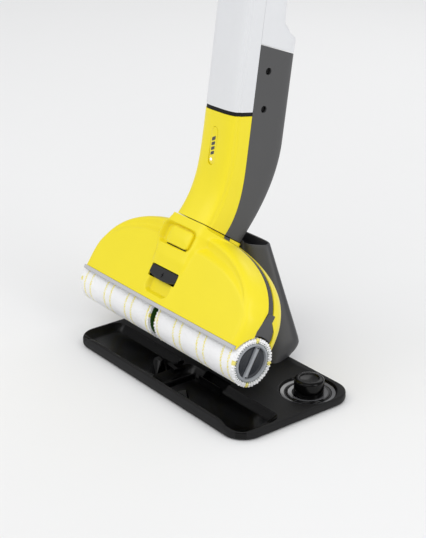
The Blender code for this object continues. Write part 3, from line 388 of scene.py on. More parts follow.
@dataclass(frozen=True)
class MouldedPlastic:
    """Moulded plastic: an even colour, a faint cloudiness and a fine spark-eroded grain."""

    name: str
    slot: str
    colour: tuple[float, float, float]
    roughness: float = 0.4
    grain: float = 0.012
    grain_size: float = 0.7
    cloud: float = 0.03
    coat: float = 0.0
    gloss: float = 0.5

    def build(self) -> bpy.types.Material:
        """Make the material."""
        tree = ShaderTree(self.name)
        cloud = tree.noise(38.0, 2.0)
        speck = tree.noise(self.grain_size, 1.5)
        colour = tree.feed_mix(cloud, shade_of(self.colour, 1 - self.cloud),
                               shade_of(self.colour, 1 + self.cloud))
        rough = self.roughness - 0.04 + 0.05 * cloud + 0.05 * speck
        tree.set(Base_Color=colour, Roughness=rough, Coat_Weight=self.coat, Coat_Roughness=0.18,
                 Specular_IOR_Level=self.gloss)
        tree.bump(speck, self.grain)
        return tree.material


@dataclass(frozen=True)
class TurnedSteel:
    """Steel with fine lines along or around the piece."""

    name: str = "brushed_steel"
    slot: str = "steel"
    colour: tuple[float, float, float] = (0.62, 0.62, 0.63)
    roughness: float = 0.3
    stretch: tuple[float, float, float] = (0.05, 1.0, 1.0)

    def build(self) -> bpy.types.Material:
        """Make the material."""
        tree = ShaderTree(self.name)
        lines = tree.noise(0.35, 2.0, self.stretch)
        cloud = tree.noise(14.0, 2.0)
        tree.set(Base_Color=tree.feed_mix(cloud, shade_of(self.colour, 0.93), self.colour),
                 Roughness=self.roughness - 0.05 + 0.12 * lines, Metallic=1.0)
        tree.bump(lines, 0.01)
        return tree.material


@dataclass(frozen=True)
class Microfibre:
    """Short white pile with pairs of pale yellow threads that zig-zag round the roller."""

    name: str = "white_pile"
    slot: str = "microfibre"
    white: tuple[float, float, float] = (0.93, 0.93, 0.935)
    thread: tuple[float, float, float] = (0.88, 0.78, 0.16)
    pitch: float = 44.0
    apart: float = 12.5
    thread_width: float = 1.25
    zigzag: float = 0.9
    zigzag_pitch: float = 3.4
    slant: float = 7.0
    first_pair: float = 28.0
    end_patches: int = 4

    def build(self) -> bpy.types.Material:
        """Make the material."""
        tree = ShaderTree(self.name)
        x, y, z = tree.place()
        radius = 28.0
        height = (z - HEAD.roller_height * MM) * (1 / MM)
        turn = height.math("ARCTAN2", y * (-1 / MM))
        wave = abs((turn * (radius / self.zigzag_pitch)).math("FRACT") - 0.5) * (4 * self.zigzag)
        along = abs(x) * (1 / MM)
        slanted = along + turn * (self.slant / math.pi) + wave - self.first_pair
        apart = abs((slanted / self.pitch).math("FRACT") - 0.5) * self.pitch
        line = abs(apart - self.apart / 2).step(self.thread_width * 1.35, self.thread_width * 0.6)
        ends = along.step(147.5, 149.5) + along.step(8.0, 6.2)
        patch = (turn * (self.end_patches / (2 * math.pi)) + 0.31).math("FRACT")
        stain = abs(patch - 0.5).step(0.075, 0.045) * ends
        fluff = tree.noise(1.3, 3.0)
        cloud = tree.noise(9.0, 2.0)
        broken = 0.45 + 0.55 * tree.noise(2.6, 1.0).step(0.40, 0.56)
        threads = (line * broken * (1 - ends.math("MINIMUM", 1.0)) + stain).math("MINIMUM", 1.0)
        white = tree.feed_mix(cloud, shade_of(self.white, 0.965), self.white)
        tree.set(Base_Color=tree.mix_colours(threads * 0.92, white, (*self.thread, 1.0)),
                 Roughness=0.92 + 0.06 * fluff, Sheen_Weight=0.25, Sheen_Roughness=0.6,
                 Specular_IOR_Level=0.25)
        tree.bump(fluff, 0.35, 0.6)
        return tree.material


@dataclass(frozen=True)
class SmokyPlastic:
    """Tinted see-through plastic of the fresh-water tank."""

    name: str = "smoky_tank"
    slot: str = "tank"
    colour: tuple[float, float, float] = (0.42, 0.47, 0.50)

    def build(self) -> bpy.types.Material:
        """Make the material."""
        tree = ShaderTree(self.name)
        cloud = tree.noise(30.0, 2.0)
        tree.set(Base_Color=tree.feed_mix(cloud, shade_of(self.colour, 0.94), self.colour),
                 Roughness=0.09 + 0.05 * cloud, Transmission_Weight=0.55, IOR=1.49)
        tree.bump(tree.noise(6.0, 1.0), 0.02)
        return tree.material


@dataclass(frozen=True)
class Lamp:
    """A small diffused light."""

    name: str = "lamp_white"
    slot: str = "light_grey"
    colour: tuple[float, float, float] = (0.95, 0.96, 0.98)

    def build(self) -> bpy.types.Material:
        """Make the material."""
        tree = ShaderTree(self.name)
        speck = tree.noise(0.5, 1.0)
        tree.set(Base_Color=(*self.colour, 1.0), Roughness=0.25 + 0.05 * speck,
                 Emission_Color=(*self.colour, 1.0), Emission_Strength=0.35)
        return tree.material


class Finish(Enum):
    """Every finish on the machine and its station."""

    YELLOW = MouldedPlastic("yellow_shell", "yellow", (0.862, 0.722, 0.014), 0.38, 0.010, 0.6, 0.02,
                            0.04, 0.38)
    YELLOW_GLOSS = MouldedPlastic("yellow_gloss", "yellow", (0.862, 0.722, 0.014), 0.2, 0.004, 0.6,
                                  0.02, 0.3)
    LIGHT_GREY = MouldedPlastic("light_grey_shell", "light_grey", (0.725, 0.733, 0.752), 0.38,
                                0.010, 0.6, 0.02, 0.05)
    DARK_GREY = MouldedPlastic("dark_grey_shell", "dark_grey", (0.068, 0.068, 0.070), 0.46, 0.016,
                               0.7, 0.05)
    FLAP_GREY = MouldedPlastic("flap_grey", "dark_grey", (0.022, 0.022, 0.023), 0.5, 0.014, 0.7,
                               0.05, 0.0, 0.35)
    TOWER_GREY = MouldedPlastic("tower_grey", "dark_grey", (0.052, 0.052, 0.055), 0.42, 0.022, 0.8,
                                0.06)
    BLACK_SATIN = MouldedPlastic("black_satin", "black", (0.0115, 0.0115, 0.012), 0.5, 0.02, 0.8,
                                 0.10, 0.0, 0.16)
    BLACK_GLOSS = MouldedPlastic("black_gloss", "black", (0.0008, 0.0008, 0.0009), 0.16, 0.003, 1.5,
                                 0.10, 0.0, 0.22)
    # Painted reflection: the recess rings are a lighter grey than the black tray so that they read as
    # the bright reflections in the cap's recess; their gloss and coat are real.
    RECESS_RING_REFLECTION = MouldedPlastic("recess_ring_reflection", "black", (0.10, 0.10, 0.105), 0.14, 0.003, 1.5,
                                 0.10, 0.6, 0.9)
    STRIP_GREY = MouldedPlastic("satin_strip", "strip_grey", (0.50, 0.50, 0.51), 0.5, 0.010, 0.5)
    CAP_GREY = MouldedPlastic("cap_rim", "cap_grey", (0.33, 0.345, 0.365), 0.36, 0.010, 0.6)
    CAP_DISC = MouldedPlastic("cap_disc", "cap_grey", (0.017, 0.020, 0.026), 0.25, 0.006, 0.8, 0.05,
                              0.2)
    CORE_GREEN = MouldedPlastic("green_core", "core_green", (0.035, 0.115, 0.015), 0.4)
    RUBBER = MouldedPlastic("soft_rubber", "rubber", (0.018, 0.018, 0.019), 0.75, 0.03, 0.9, 0.10)
    GRIP_RUBBER = MouldedPlastic("grip_rubber", "dark_grey", (0.036, 0.036, 0.038), 0.66, 0.03, 0.6,
                                 0.08)
    CELL_BLUE = MouldedPlastic("cell_sleeve", "cell_blue", (0.02, 0.07, 0.24), 0.3, 0.006)
    STEEL = TurnedSteel()
    MOTOR_CAN = TurnedSteel("motor_casing", "motor_can", (0.45, 0.45, 0.46), 0.34, (0.05, 1.0, 1.0))
    PILE = Microfibre()
    TANK = SmokyPlastic()
    LAMP = Lamp()

    def material(self) -> bpy.types.Material:
        """The finish's material, built once."""
        return bpy.data.materials.get(self.value.name) or self.value.build()


SLOT_FINISH = {
    "yellow": Finish.YELLOW, "light_grey": Finish.LIGHT_GREY, "dark_grey": Finish.DARK_GREY,
    "black": Finish.BLACK_SATIN, "strip_grey": Finish.STRIP_GREY, "cap_grey": Finish.CAP_GREY,
    "microfibre": Finish.PILE, "core_green": Finish.CORE_GREEN, "steel": Finish.STEEL,
    "rubber": Finish.RUBBER, "motor_can": Finish.MOTOR_CAN, "cell_blue": Finish.CELL_BLUE,
    "tank": Finish.TANK,
}


# --- mesh work ------------------------------------------------------------------------------------
class Form:
    """Ways to make and finish meshes."""

    @staticmethod
    def add(name: str, mesh: bmesh.types.BMesh, outward: bool = True) -> bpy.types.Object:
        """Turn a bmesh of world points into an object at the origin."""
        bmesh.ops.remove_doubles(mesh, verts=mesh.verts, dist=1e-6)
        if outward:
            bmesh.ops.recalc_face_normals(mesh, faces=mesh.faces)
        data = bpy.data.meshes.new(name)
        mesh.to_mesh(data)
        mesh.free()
        thing = bpy.data.objects.new(name, data)
        bpy.context.scene.collection.objects.link(thing)
        return thing

    @staticmethod
    def skin(name: str, rows: Sequence[Ring], round_rows: bool = True, loop: bool = False,
             caps: bool = True, outward: bool = True) -> bpy.types.Object:
        """Skin rows of equally many points.

        Args:
            name: the object's name.
            rows: the rings or open rows.
            round_rows: whether each row closes on itself.
            loop: whether the last row joins the first.
            caps: whether the end rows get a face.
            outward: whether the normals are worked out again.

        Returns:
            The object.
        """
        mesh = bmesh.new()
        points = [[mesh.verts.new(p) for p in row] for row in rows]
        count = len(points[0])
        following = points[1:] + points[:1] if loop else points[1:]
        for low, high in zip(points, following):
            for i in range(count if round_rows else count - 1):
                j = (i + 1) % count
                mesh.faces.new((low[i], low[j], high[j], high[i]))
        if caps and not loop:
            mesh.faces.new(list(reversed(points[0])))
            mesh.faces.new(points[-1])
        return Form.add(name, mesh, outward)

    @staticmethod
    def turned(name: str, profile: Sequence[Pair], place: Place, segments: int = 96
               ) -> bpy.types.Object:
        """Turn a closed (radius, height) profile about a placing function's third direction."""
        mesh = bmesh.new()
        rows = []
        for k in range(segments):
            angle = 2 * math.pi * k / segments
            rows.append([mesh.verts.new(place(r * math.cos(angle), r * math.sin(angle), h))
                         for r, h in profile])
        count = len(profile)
        for low, high in zip(rows, rows[1:] + rows[:1]):
            for i in range(count):
                j = (i + 1) % count
                if profile[i][0] == 0 and profile[j][0] == 0:
                    continue
                mesh.faces.new((low[i], low[j], high[j], high[i]))
        bmesh.ops.remove_doubles(mesh, verts=mesh.verts, dist=1e-7)
        bmesh.ops.dissolve_degenerate(mesh, edges=mesh.edges, dist=1e-7)
        return Form.add(name, mesh)

    @staticmethod
    def block(name: str, place: Place, low: Sequence[float], high: Sequence[float]
              ) -> bpy.types.Object:
        """A box between two corners of a placing function."""
        (x0, y0, z0), (x1, y1, z1) = low, high
        rings = [[place(x, y, z) for x, y in ((x0, y0), (x1, y0), (x1, y1), (x0, y1))]
                 for z in (z0, z1)]
        return Form.skin(name, rings)

    @staticmethod
    def copy_node(node: str, name: str | None = None) -> bpy.types.Object:
        """A clean copy of a CAD node: its points merged and its flat areas made single faces."""
        mesh = bmesh.new()
        mesh.from_mesh(frame["nodes"][node].data)
        bmesh.ops.remove_doubles(mesh, verts=mesh.verts, dist=2e-6)
        bmesh.ops.dissolve_limit(mesh, angle_limit=math.radians(1.0), verts=mesh.verts,
                                 edges=mesh.edges)
        return Form.add(name or f"{node}_shape", mesh, outward=False)

    @staticmethod
    def settle(thing: bpy.types.Object) -> bpy.types.Object:
        """Apply every modifier."""
        bpy.context.view_layer.update()
        graph = bpy.context.evaluated_depsgraph_get()
        data = bpy.data.meshes.new_from_object(thing.evaluated_get(graph),
                                               preserve_all_data_layers=True, depsgraph=graph)
        thing.modifiers.clear()
        old = thing.data
        thing.data = data
        data.name = thing.name
        if isinstance(old, bpy.types.Mesh):
            bpy.data.meshes.remove(old)
        return thing

    @staticmethod
    def combine(target: bpy.types.Object, tools: Iterable[bpy.types.Object],
                operation: str = "DIFFERENCE") -> bpy.types.Object:
        """Cut tools out of a piece, or join them on, and remove the tools."""
        tools = list(tools)
        for tool in tools:
            modifier = target.modifiers.new(tool.name, "BOOLEAN")
            modifier.operation, modifier.object, modifier.solver = operation, tool, "MANIFOLD"
        Form.settle(target)
        for tool in tools:
            bpy.data.objects.remove(tool)
        return target

    @staticmethod
    def soften(thing: bpy.types.Object, width: float, segments: int = 3, angle: float = 30.0
               ) -> bpy.types.Object:
        """Round the crisp edges of a piece."""
        bevel = thing.modifiers.new("edge_round", "BEVEL")
        bevel.width, bevel.segments = width * MM, segments
        bevel.limit_method, bevel.angle_limit = "ANGLE", math.radians(angle)
        bevel.use_clamp_overlap, bevel.harden_normals = True, False
        return Form.settle(thing)

    @staticmethod
    def smooth(thing: bpy.types.Object, angle: float = 32.0) -> bpy.types.Object:
        """Shade smooth, except over edges sharper than the angle."""
        thing.data.shade_smooth()
        thing.data.set_sharp_from_angle(angle=math.radians(angle))
        return thing


def show(thing: bpy.types.Object, finish: Finish, body: str, *nodes: str, angle: float = 32.0
         ) -> bpy.types.Object:
    """Dress a piece, let it ride on its body and report it.

    Args:
        thing: the finished mesh.
        finish: its finish.
        body: the CAD body that it moves with.
        nodes: the CAD nodes that it stands for.
        angle: edges sharper than this stay crisp.

    Returns:
        The piece.
    """
    Form.smooth(thing, angle)
    thing.data.materials.clear()
    thing.data.materials.append(finish.material())
    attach(thing, body)
    if nodes:
        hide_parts(*nodes)
    LOG.info("%-28s %7d faces on %s", thing.name, len(thing.data.polygons), body)
    return thing


def refined(node: str, finish: Finish, body: str, width: float = 0.4, segments: int = 2,
            angle: float = 30.0) -> bpy.types.Object:
    """The CAD node's own shape with rounded edges, in its place."""
    thing = Form.copy_node(node)
    Form.soften(thing, width, segments, angle)
    return show(thing, finish, body, node)


# --- geometry nodes -------------------------------------------------------------------------------
class GeometryTree:
    """A Geometry Nodes tree built from named inputs."""

    KINDS = {float: "NodeSocketFloat", int: "NodeSocketInt", Vector: "NodeSocketVector",
             bpy.types.Material: "NodeSocketMaterial"}

    def __init__(self, name: str, inputs: dict[str, type]) -> None:
        """Start a tree with a geometry in and out and the named inputs."""
        self.tree = bpy.data.node_groups.new(name, "GeometryNodeTree")
        face = self.tree.interface
        face.new_socket("Geometry", in_out="INPUT", socket_type="NodeSocketGeometry")
        for key, kind in inputs.items():
            face.new_socket(key, in_out="INPUT", socket_type=self.KINDS[kind])
        face.new_socket("Geometry", in_out="OUTPUT", socket_type="NodeSocketGeometry")
        self.source = self.tree.nodes.new("NodeGroupInput")
        self.result = self.tree.nodes.new("NodeGroupOutput")

    def given(self, name: str) -> Any:
        """The socket of a named input."""
        return self.source.outputs[name]

    def node(self, kind: str, settings: dict[str, Any] | None = None,
             values: dict[Any, Any] | None = None) -> Any:
        """Add a node with its settings, and the values or links of its sockets."""
        node = self.tree.nodes.new(kind)
        for key, setting in (settings or {}).items():
            setattr(node, key, setting)
        for key, value in (values or {}).items():
            if isinstance(value, bpy.types.NodeSocket):
                self.tree.links.new(value, node.inputs[key])
            else:
                node.inputs[key].default_value = value
        return node

    def finish(self, geometry: Any) -> None:
        """Make the instances real, give the material and send it out."""
        real = self.node("GeometryNodeRealizeInstances", values={0: geometry})
        painted = self.node("GeometryNodeSetMaterial", None,
                            {"Geometry": real.outputs[0], "Material": self.given("Material")})
        self.tree.links.new(painted.outputs[0], self.result.inputs[0])

    def apply(self, thing: bpy.types.Object, values: dict[str, Any]) -> bpy.types.Object:
        """Run the tree on an object and keep the result as its mesh."""
        modifier = thing.modifiers.new(self.tree.name, "NODES")
        modifier.node_group = self.tree
        for item in self.tree.interface.items_tree:
            if item.in_out == "INPUT" and item.name in values:
                modifier[item.identifier] = values[item.name]
        return Form.settle(thing)


def empty_mesh(name: str) -> bpy.types.Object:
    """An object with nothing in it, for a tree to fill."""
    thing = bpy.data.objects.new(name, bpy.data.meshes.new(name))
    bpy.context.scene.collection.objects.link(thing)
    return thing


def pile_tree() -> GeometryTree:
    """A tube of cloth along X, its surface uneven, set all over with short pointed tufts."""
    tree = GeometryTree("pile_sleeve", {
        "Radius": float, "Length": float, "Middle": Vector, "Pile": float, "Density": float,
        "Seed": int, "Material": bpy.types.Material})
    tube = tree.node("GeometryNodeMeshCylinder", {"fill_type": "NONE"},
                     {"Vertices": 128, "Side Segments": 92, "Radius": tree.given("Radius"),
                      "Depth": tree.given("Length")})
    laid = tree.node("GeometryNodeTransform", None,
                     {"Geometry": tube.outputs["Mesh"], "Translation": tree.given("Middle"),
                      "Rotation": (0.0, math.pi / 2, 0.0)})
    normal = tree.node("GeometryNodeInputNormal").outputs[0]
    noise = tree.node("ShaderNodeTexNoise", None, {"Scale": 260.0, "Detail": 1.5})
    centred = tree.node("ShaderNodeMath", {"operation": "SUBTRACT"},
                        {0: noise.outputs[0], 1: 0.75})
    depth = tree.node("ShaderNodeMath", {"operation": "MULTIPLY"},
                      {0: centred.outputs[0], 1: tree.given("Pile")})
    push = tree.node("ShaderNodeVectorMath", {"operation": "SCALE"},
                     {0: normal, "Scale": depth.outputs[0]})
    uneven = tree.node("GeometryNodeSetPosition", None,
                       {"Geometry": laid.outputs[0], "Offset": push.outputs[0]})
    points = tree.node("GeometryNodeDistributePointsOnFaces", None,
                       {"Mesh": uneven.outputs[0], "Density": tree.given("Density"),
                        "Seed": tree.given("Seed")})
    tuft = tree.node("GeometryNodeMeshCone", None,
                     {"Vertices": 3, "Radius Top": 0.0, "Radius Bottom": 0.62 * MM,
                      "Depth": tree.given("Pile")})
    lean = tree.node("FunctionNodeRandomValue", {"data_type": "FLOAT_VECTOR"},
                     {0: (-0.42, -0.42, -3.1), 1: (0.42, 0.42, 3.1), "Seed": tree.given("Seed")})
    turned = tree.node("FunctionNodeRotateRotation", {"rotation_space": "LOCAL"},
                       {0: points.outputs["Rotation"], 1: lean.outputs[0]})
    size = tree.node("FunctionNodeRandomValue", {"data_type": "FLOAT"},
                     {2: 0.55, 3: 0.95, "Seed": tree.given("Seed")})
    tufts = tree.node("GeometryNodeInstanceOnPoints", None,
                      {"Points": points.outputs[0], "Instance": tuft.outputs["Mesh"],
                       "Rotation": turned.outputs[0], "Scale": size.outputs[1]})
    joined = tree.node("GeometryNodeJoinGeometry")
    for part in (tufts.outputs[0], uneven.outputs[0]):
        tree.tree.links.new(part, joined.inputs[0])
    tree.finish(joined.outputs[0])
    return tree


def ring_tree() -> GeometryTree:
    """Equal lumps in a ring about the X axis, each turned outwards and slightly uneven."""
    tree = GeometryTree("lump_ring", {
        "Radius": float, "Count": int, "Middle": Vector, "Lump": float, "Seed": int,
        "Material": bpy.types.Material})
    ring = tree.node("GeometryNodeMeshCircle", None,
                     {"Vertices": tree.given("Count"), "Radius": tree.given("Radius")})
    laid = tree.node("GeometryNodeTransform", None,
                     {"Geometry": ring.outputs[0], "Translation": tree.given("Middle"),
                      "Rotation": (0.0, math.pi / 2, 0.0)})
    lump = tree.node("GeometryNodeMeshIcoSphere", None,
                     {"Radius": tree.given("Lump"), "Subdivisions": 2})
    size = tree.node("FunctionNodeRandomValue", {"data_type": "FLOAT_VECTOR"},
                     {0: (0.5, 0.45, 0.45), 1: (1.0, 1.0, 1.0), "Seed": tree.given("Seed")})
    lumps = tree.node("GeometryNodeInstanceOnPoints", None,
                      {"Points": laid.outputs[0], "Instance": lump.outputs["Mesh"],
                       "Scale": size.outputs[0]})
    tree.finish(lumps.outputs[0])
    return tree


def rib_tree() -> GeometryTree:
    """A round rib along every line of a mesh."""
    tree = GeometryTree("grip_ribs", {"Thickness": float, "Material": bpy.types.Material})
    line = tree.node("GeometryNodeMeshToCurve", None, {"Mesh": tree.given("Geometry")})
    profile = tree.node("GeometryNodeCurvePrimitiveCircle", {"mode": "RADIUS"},
                        {"Resolution": 8, "Radius": tree.given("Thickness")})
    tube = tree.node("GeometryNodeCurveToMesh", None,
                     {"Curve": line.outputs[0], "Profile Curve": profile.outputs[0],
                      "Fill Caps": True})
    tree.finish(tube.outputs[0])
    return tree


# --- parking station ------------------------------------------------------------------------------
@dataclass
class ParkingStation:
    """Tray with two glossy sinks, a rear platform with the measuring cap, and the hollow tower."""

    left: float = -109.2
    right: float = 212.5
    front: float = -66.6
    back: float = 100.7
    corner: float = 27.0
    rim: float = 11.0
    raised_wall: float = 15.6
    floor: float = 2.5
    sink_back: float = -3.0
    cap_place: Pair = (178.4, 60.8)
    cap_radius: float = 17.2
    cap_top: float = 26.8
    recess_depth: float = 3.5
    recess_shift: float = -1.5
    recess_edge: float = 33.4
    recess_rings: tuple[tuple[str, float, float], ...] = (("inner", 18.4, 23.4),
                                                          ("outer", 27.2, 31.0))
    wall_start: float = -89.2
    wall_stop: float = 187.0
    wall_foot: float = 5.0
    wall_rise: tuple[Pair, ...] = ((-90, 0.0), (-70, 1.0), (174, 1.0))
    wall_fall: tuple[Pair, ...] = ((170, 1.0), (176, 1.0), (187, 0.0))
    left_sink: Pair = (-105.0, 40.0)
    right_sink: Pair = (39.5, 207.5)
    sink_inset: float = 4.6
    post_foot: tuple[Pair, ...] = ((14.4, -41.5), (36.0, -48.5), (28.5, -28.0), (14.0, -27.5))
    post_head: tuple[tuple[float, ...], ...] = ((15.4, -35.6, 17.0), (26.6, -33.8, 17.2),
                                                (24.8, -28.9, 17.0), (15.0, -28.4, 16.8))
    fin_foot: tuple[Pair, ...] = ((94.0, -61.0), (115.0, -61.0), (96.0, -45.0))
    fin_head: tuple[tuple[float, ...], ...] = ((95.0, -60.6, 14.6), (113.0, -60.6, 14.6),
                                               (93.0, -47.5, 11.8))
    cross_crest: tuple[tuple[float, float, float], ...] = (
        (57.6, -60.5, 6.6), (58.2, -45.0, 6.2), (58.6, -20.0, 6.2), (59.0, -2.4, 6.4))
    ridge_crest: tuple[tuple[float, float, float], ...] = ((70.0, -10.5, 8.6),
                                                           (109.0, -10.5, 8.4))
    cradle_ends: Pair = (-28.0, 2.6)
    cradle_left: float = 30.0
    foot_groove: tuple[Pair, ...] = ((8.2, 0.2), (13.8, 0.2), (13.8, 1.5), (8.2, 1.5))
    under_pockets: tuple[Pair, ...] = ((-98, -8), (8, 136))
    tower_top: float = 134.0
    tower_wall: float = 2.6
    tower_recess: float = 7.4
    body: str = "parking_station"

    def slab(self, name: str, levels: Sequence[Pair]) -> bpy.types.Object:
        """Rounded plate of the tray's outline; levels are (height, inset) pairs."""
        rings = []
        for z, inset in levels:
            shape = rounded_rectangle(self.left + inset, self.right - inset, self.front + inset,
                                      self.back - inset, max(self.corner - inset, 1.0), 14)
            rings.append([world(x, y, z) for x, y in shape])
        return Form.skin(name, rings)

    def sink(self, name: str, left: float, right: float, front: float, back: float
             ) -> bpy.types.Object:
        """Cutter of one sink, with sloping walls and a rounded bottom edge."""
        rings = []
        for z, inset, radius in ((self.floor, 9.5, 9.0), (self.floor + 0.8, 7.6, 10.0),
                                 (self.floor + 2.6, 6.0, 11.0), (self.rim - 1.5, 1.0, 14.0),
                                 (self.rim + 0.2, -0.6, 15.0), (self.rim + 12, -0.6, 15.0)):
            shape = rounded_rectangle(left + inset, right - inset, front + inset, back - inset,
                                      radius, 8)
            rings.append([world(x, y, z) for x, y in shape])
        return Form.skin(name, rings)

    def sweep(self, name: str, points: Sequence[tuple[float, float, float]], wide: float,
              high: float) -> bpy.types.Object:
        """A low wall of round-topped section that runs through points of its crest."""
        rings = []
        route = curve_through(points, 8) if len(points) > 2 else list(points)
        for k, point in enumerate(route):
            before, after = route[max(k - 1, 0)], route[min(k + 1, len(route) - 1)]
            along = math.atan2(after[1] - before[1], after[0] - before[0])
            nx, ny = -math.sin(along), math.cos(along)
            section = ((-0.5, -high), (-0.5, -0.8), (-0.3, -0.1), (0.0, 0.0), (0.3, -0.1),
                       (0.5, -0.8), (0.5, -high))
            rings.append([world(point[0] + nx * a * wide, point[1] + ny * a * wide,
                                max(point[2] + h, self.floor - 0.6)) for a, h in section])
        return Form.skin(name, rings)

    def front_wall(self) -> bpy.types.Object:
        """Raised wall along the tray's front edge, low again towards its right end."""
        rows = []
        for x in spread(self.wall_start, self.wall_stop, 41):
            rise = min(ramp(x, self.wall_rise), ramp(x, self.wall_fall) if x > 170 else 1.0)
            top = self.rim - 1.5 + (self.raised_wall - self.rim + 1.5) * rise
            section = ((0.0, self.wall_foot), (0.0, top - 1.4), (0.5, top - 0.4), (1.4, top),
                       (3.2, top), (4.2, top - 0.5), (4.7, top - 1.6), (5.4, self.wall_foot))
            rows.append([world(x, self.front + 0.15 + y, z) for y, z in section])
        return Form.skin("front_wall", rows)

    def recess(self) -> bpy.types.Object:
        """Cutter of the stepped round recess in which the measuring cap stands."""
        step, rim = self.rim - self.recess_depth, self.rim
        return Form.turned("cap_recess", (
            (0, step), (22.0, step), (22.6, step + 0.9), (24.4, step + 0.9), (25.0, step),
            (30.5, step), (31.6, step + 0.5), (32.2, step + 1.6), (32.6, rim - 0.8),
            (33.0, rim - 0.2), (33.8, rim + 0.1), (33.8, 30.0), (0, 30.0)), self.at_recess)

    def at_recess(self, x: float, y: float, z: float) -> Vector:
        """A point round the middle of the cap's recess."""
        return world(self.cap_place[0] + self.recess_shift + x, self.cap_place[1] + y, z)

    def cradle(self) -> bpy.types.Object:
        """Curved rest behind the divider post, on which the rollers lie."""
        low, left = 1.8, self.cradle_left
        rows = []
        for y in spread(*self.cradle_ends, 24):
            crest = 8.2 + 3.2 * (max(-y - 4.0, 0.0) / 24.0) ** 2
            reach = 45.5 - 9.5 * ((y + 21.0) / 23.6) ** 2
            section = ((left, low), (left, crest + 2.2), (left + 1.2, crest + 2.6),
                       (left + 2.6, crest + 1.2), (reach - 1.0, crest), (reach, crest - 0.8),
                       (reach + 0.4, low))
            rows.append([world(x, y, z) for x, z in section])
        return Form.skin("roller_cradle", rows)

    def raised_parts(self) -> list[bpy.types.Object]:
        """What stands in the sinks: post, cradle, cross wall, fin and rear ridge."""
        post = Form.skin("divider_post", [[world(x, y, 2.0) for x, y in self.post_foot],
                                          [world(*point) for point in self.post_head]])
        Form.soften(post, 0.7, 3)
        fin = Form.skin("sink_fin", [[world(x, y, 1.8) for x, y in self.fin_foot],
                                     [world(*point) for point in self.fin_head]])
        Form.soften(fin, 0.5, 2)
        return [post, self.cradle(), self.sweep("cross_wall", self.cross_crest, 2.2, 5.0), fin,
                self.sweep("rear_ridge", self.ridge_crest, 2.4, 6.6)]

    def make_tray(self) -> None:
        """Tray with its sinks, front wall, raised parts and the cap's recess."""
        tray = self.slab("tray", ((1.2, 1.6), (1.5, 1.0), (2.4, 0.3), (3.6, 0.0),
                                  (self.rim - 2.2, 0.0), (self.rim - 1.0, 0.45),
                                  (self.rim - 0.3, 1.2), (self.rim, 2.2)))
        Form.combine(tray, [self.front_wall()], "UNION")
        sink_front = self.front + self.sink_inset
        Form.combine(tray, [self.sink("left_sink", *self.left_sink, sink_front, self.sink_back),
                            self.sink("right_sink", *self.right_sink, sink_front,
                                      self.sink_back)])
        Form.combine(tray, [self.recess()])
        parts = self.raised_parts()
        Form.combine(tray, [Form.block("rear_notch", world, (72.0, -8.0, 4.0),
                                       (114.0, 1.2, 13.0))])
        Form.combine(tray, parts, "UNION")
        groove = []
        for inset, z in self.foot_groove:
            shape = rounded_rectangle(self.left + inset, self.right - inset, self.front + inset,
                                      self.back - inset, self.corner - inset, 10)
            groove.append([world(x, y, z) for x, y in shape])
        Form.combine(tray, [Form.skin("foot_groove", groove, loop=True)])
        Form.combine(tray, [Form.block(f"rib_pocket_{k}", world, (low, 8, -2), (high, 92, 8.2))
                            for k, (low, high) in enumerate(self.under_pockets)])
        self.polish(show(tray, Finish.BLACK_SATIN, self.body, "dock_tray", angle=40.0))

    def polish(self, tray: bpy.types.Object) -> None:
        """Give the sinks and the recess of the finished tray their gloss."""
        tray.data.materials.append(Finish.BLACK_GLOSS.material())
        left, right = self.left_sink[0] - 0.5, self.right_sink[1] + 0.5
        front, back = self.front + self.sink_inset + 0.3, self.sink_back + 4.4
        middle = (self.cap_place[0] + self.recess_shift, self.cap_place[1])
        step = self.rim - self.recess_depth
        for face in tray.data.polygons:
            x, y, z = face.center / MM
            in_sink = left < x < right and front < y < back and 2.0 < z < self.rim - 0.4
            in_recess = (math.dist((x, y), middle) < self.recess_edge
                         and step - 0.5 < z < self.rim - 0.1)
            if in_sink or in_recess:
                face.material_index = 1

    def tower_ring(self, z: float, wall: float = 0.0) -> list[Pair]:
        """Closed outline of the tower at height z, moved in by a wall's thickness."""
        t = (z - self.rim) / (self.tower_top - self.rim)
        low = min(max((30 - z) / 18.0, 0.0), 1.0)
        tip = (108.5 - 78.0 * t - wall, 67 + 21.5 * t + wall * 0.1)
        corner_x = 108 - 58 * max(z - 30, 0) / (self.tower_top - 30) - 5 * low * low
        corner_y = 115 + 2 * t - 9 * low * low
        side = [tip, (corner_x - wall * 1.1, corner_y - 12),
                (corner_x - 3.5 - wall, corner_y - 3.0 - wall * 0.6),
                (corner_x - 12 - wall * 0.5, corner_y - wall)]
        middle = tip[1] + self.tower_recess * max(t, 0.0)
        half = [(0.0, middle), (0.55 * tip[0], middle), *side, (0.0, corner_y - wall)]
        softened = cut_corners(half, 1)
        points = even(cut_corners(softened[1:-1], 2), 44)
        points = [(0.0, middle), *points, (0.0, corner_y - wall)]
        return points + [(-x, y) for x, y in reversed(points[1:-1])]

    def make_tower(self) -> None:
        """Hollow tower with a rounded brim, and the foot behind it."""
        heights = [self.rim + 0.3, 14.0, 17.0, 20.0, 24.0, 28.0, 34.0, 50.0, 80.0, 110.0, 130.0,
                   self.tower_top - 0.9, self.tower_top - 0.2, self.tower_top]
        outer, inner = [], []
        for z in heights:
            slip = max(z - self.tower_top + 1.0, 0.0) * 0.5
            outer.append([world(x, y, z) for x, y in self.tower_ring(z, slip)])
            inner.append([world(x, y, z) for x, y in self.tower_ring(z, self.tower_wall - slip)])
        rows = outer + list(reversed(inner))
        tower = Form.skin("tower", rows, loop=True)
        foot = Form.block("rear_foot", world, (-80, self.back + 0.3, 0), (80, 112.2, 15.5))
        Form.soften(foot, 1.5, 3)
        Form.combine(tower, [foot], "UNION")
        show(tower, Finish.TOWER_GREY, self.body, "dock_tower", angle=38.0)

    def make_cap(self) -> None:
        """Measuring cap upside down on its post."""
        cx, cy = self.cap_place
        top, r = self.cap_top, self.cap_radius
        floor = self.rim - self.recess_depth

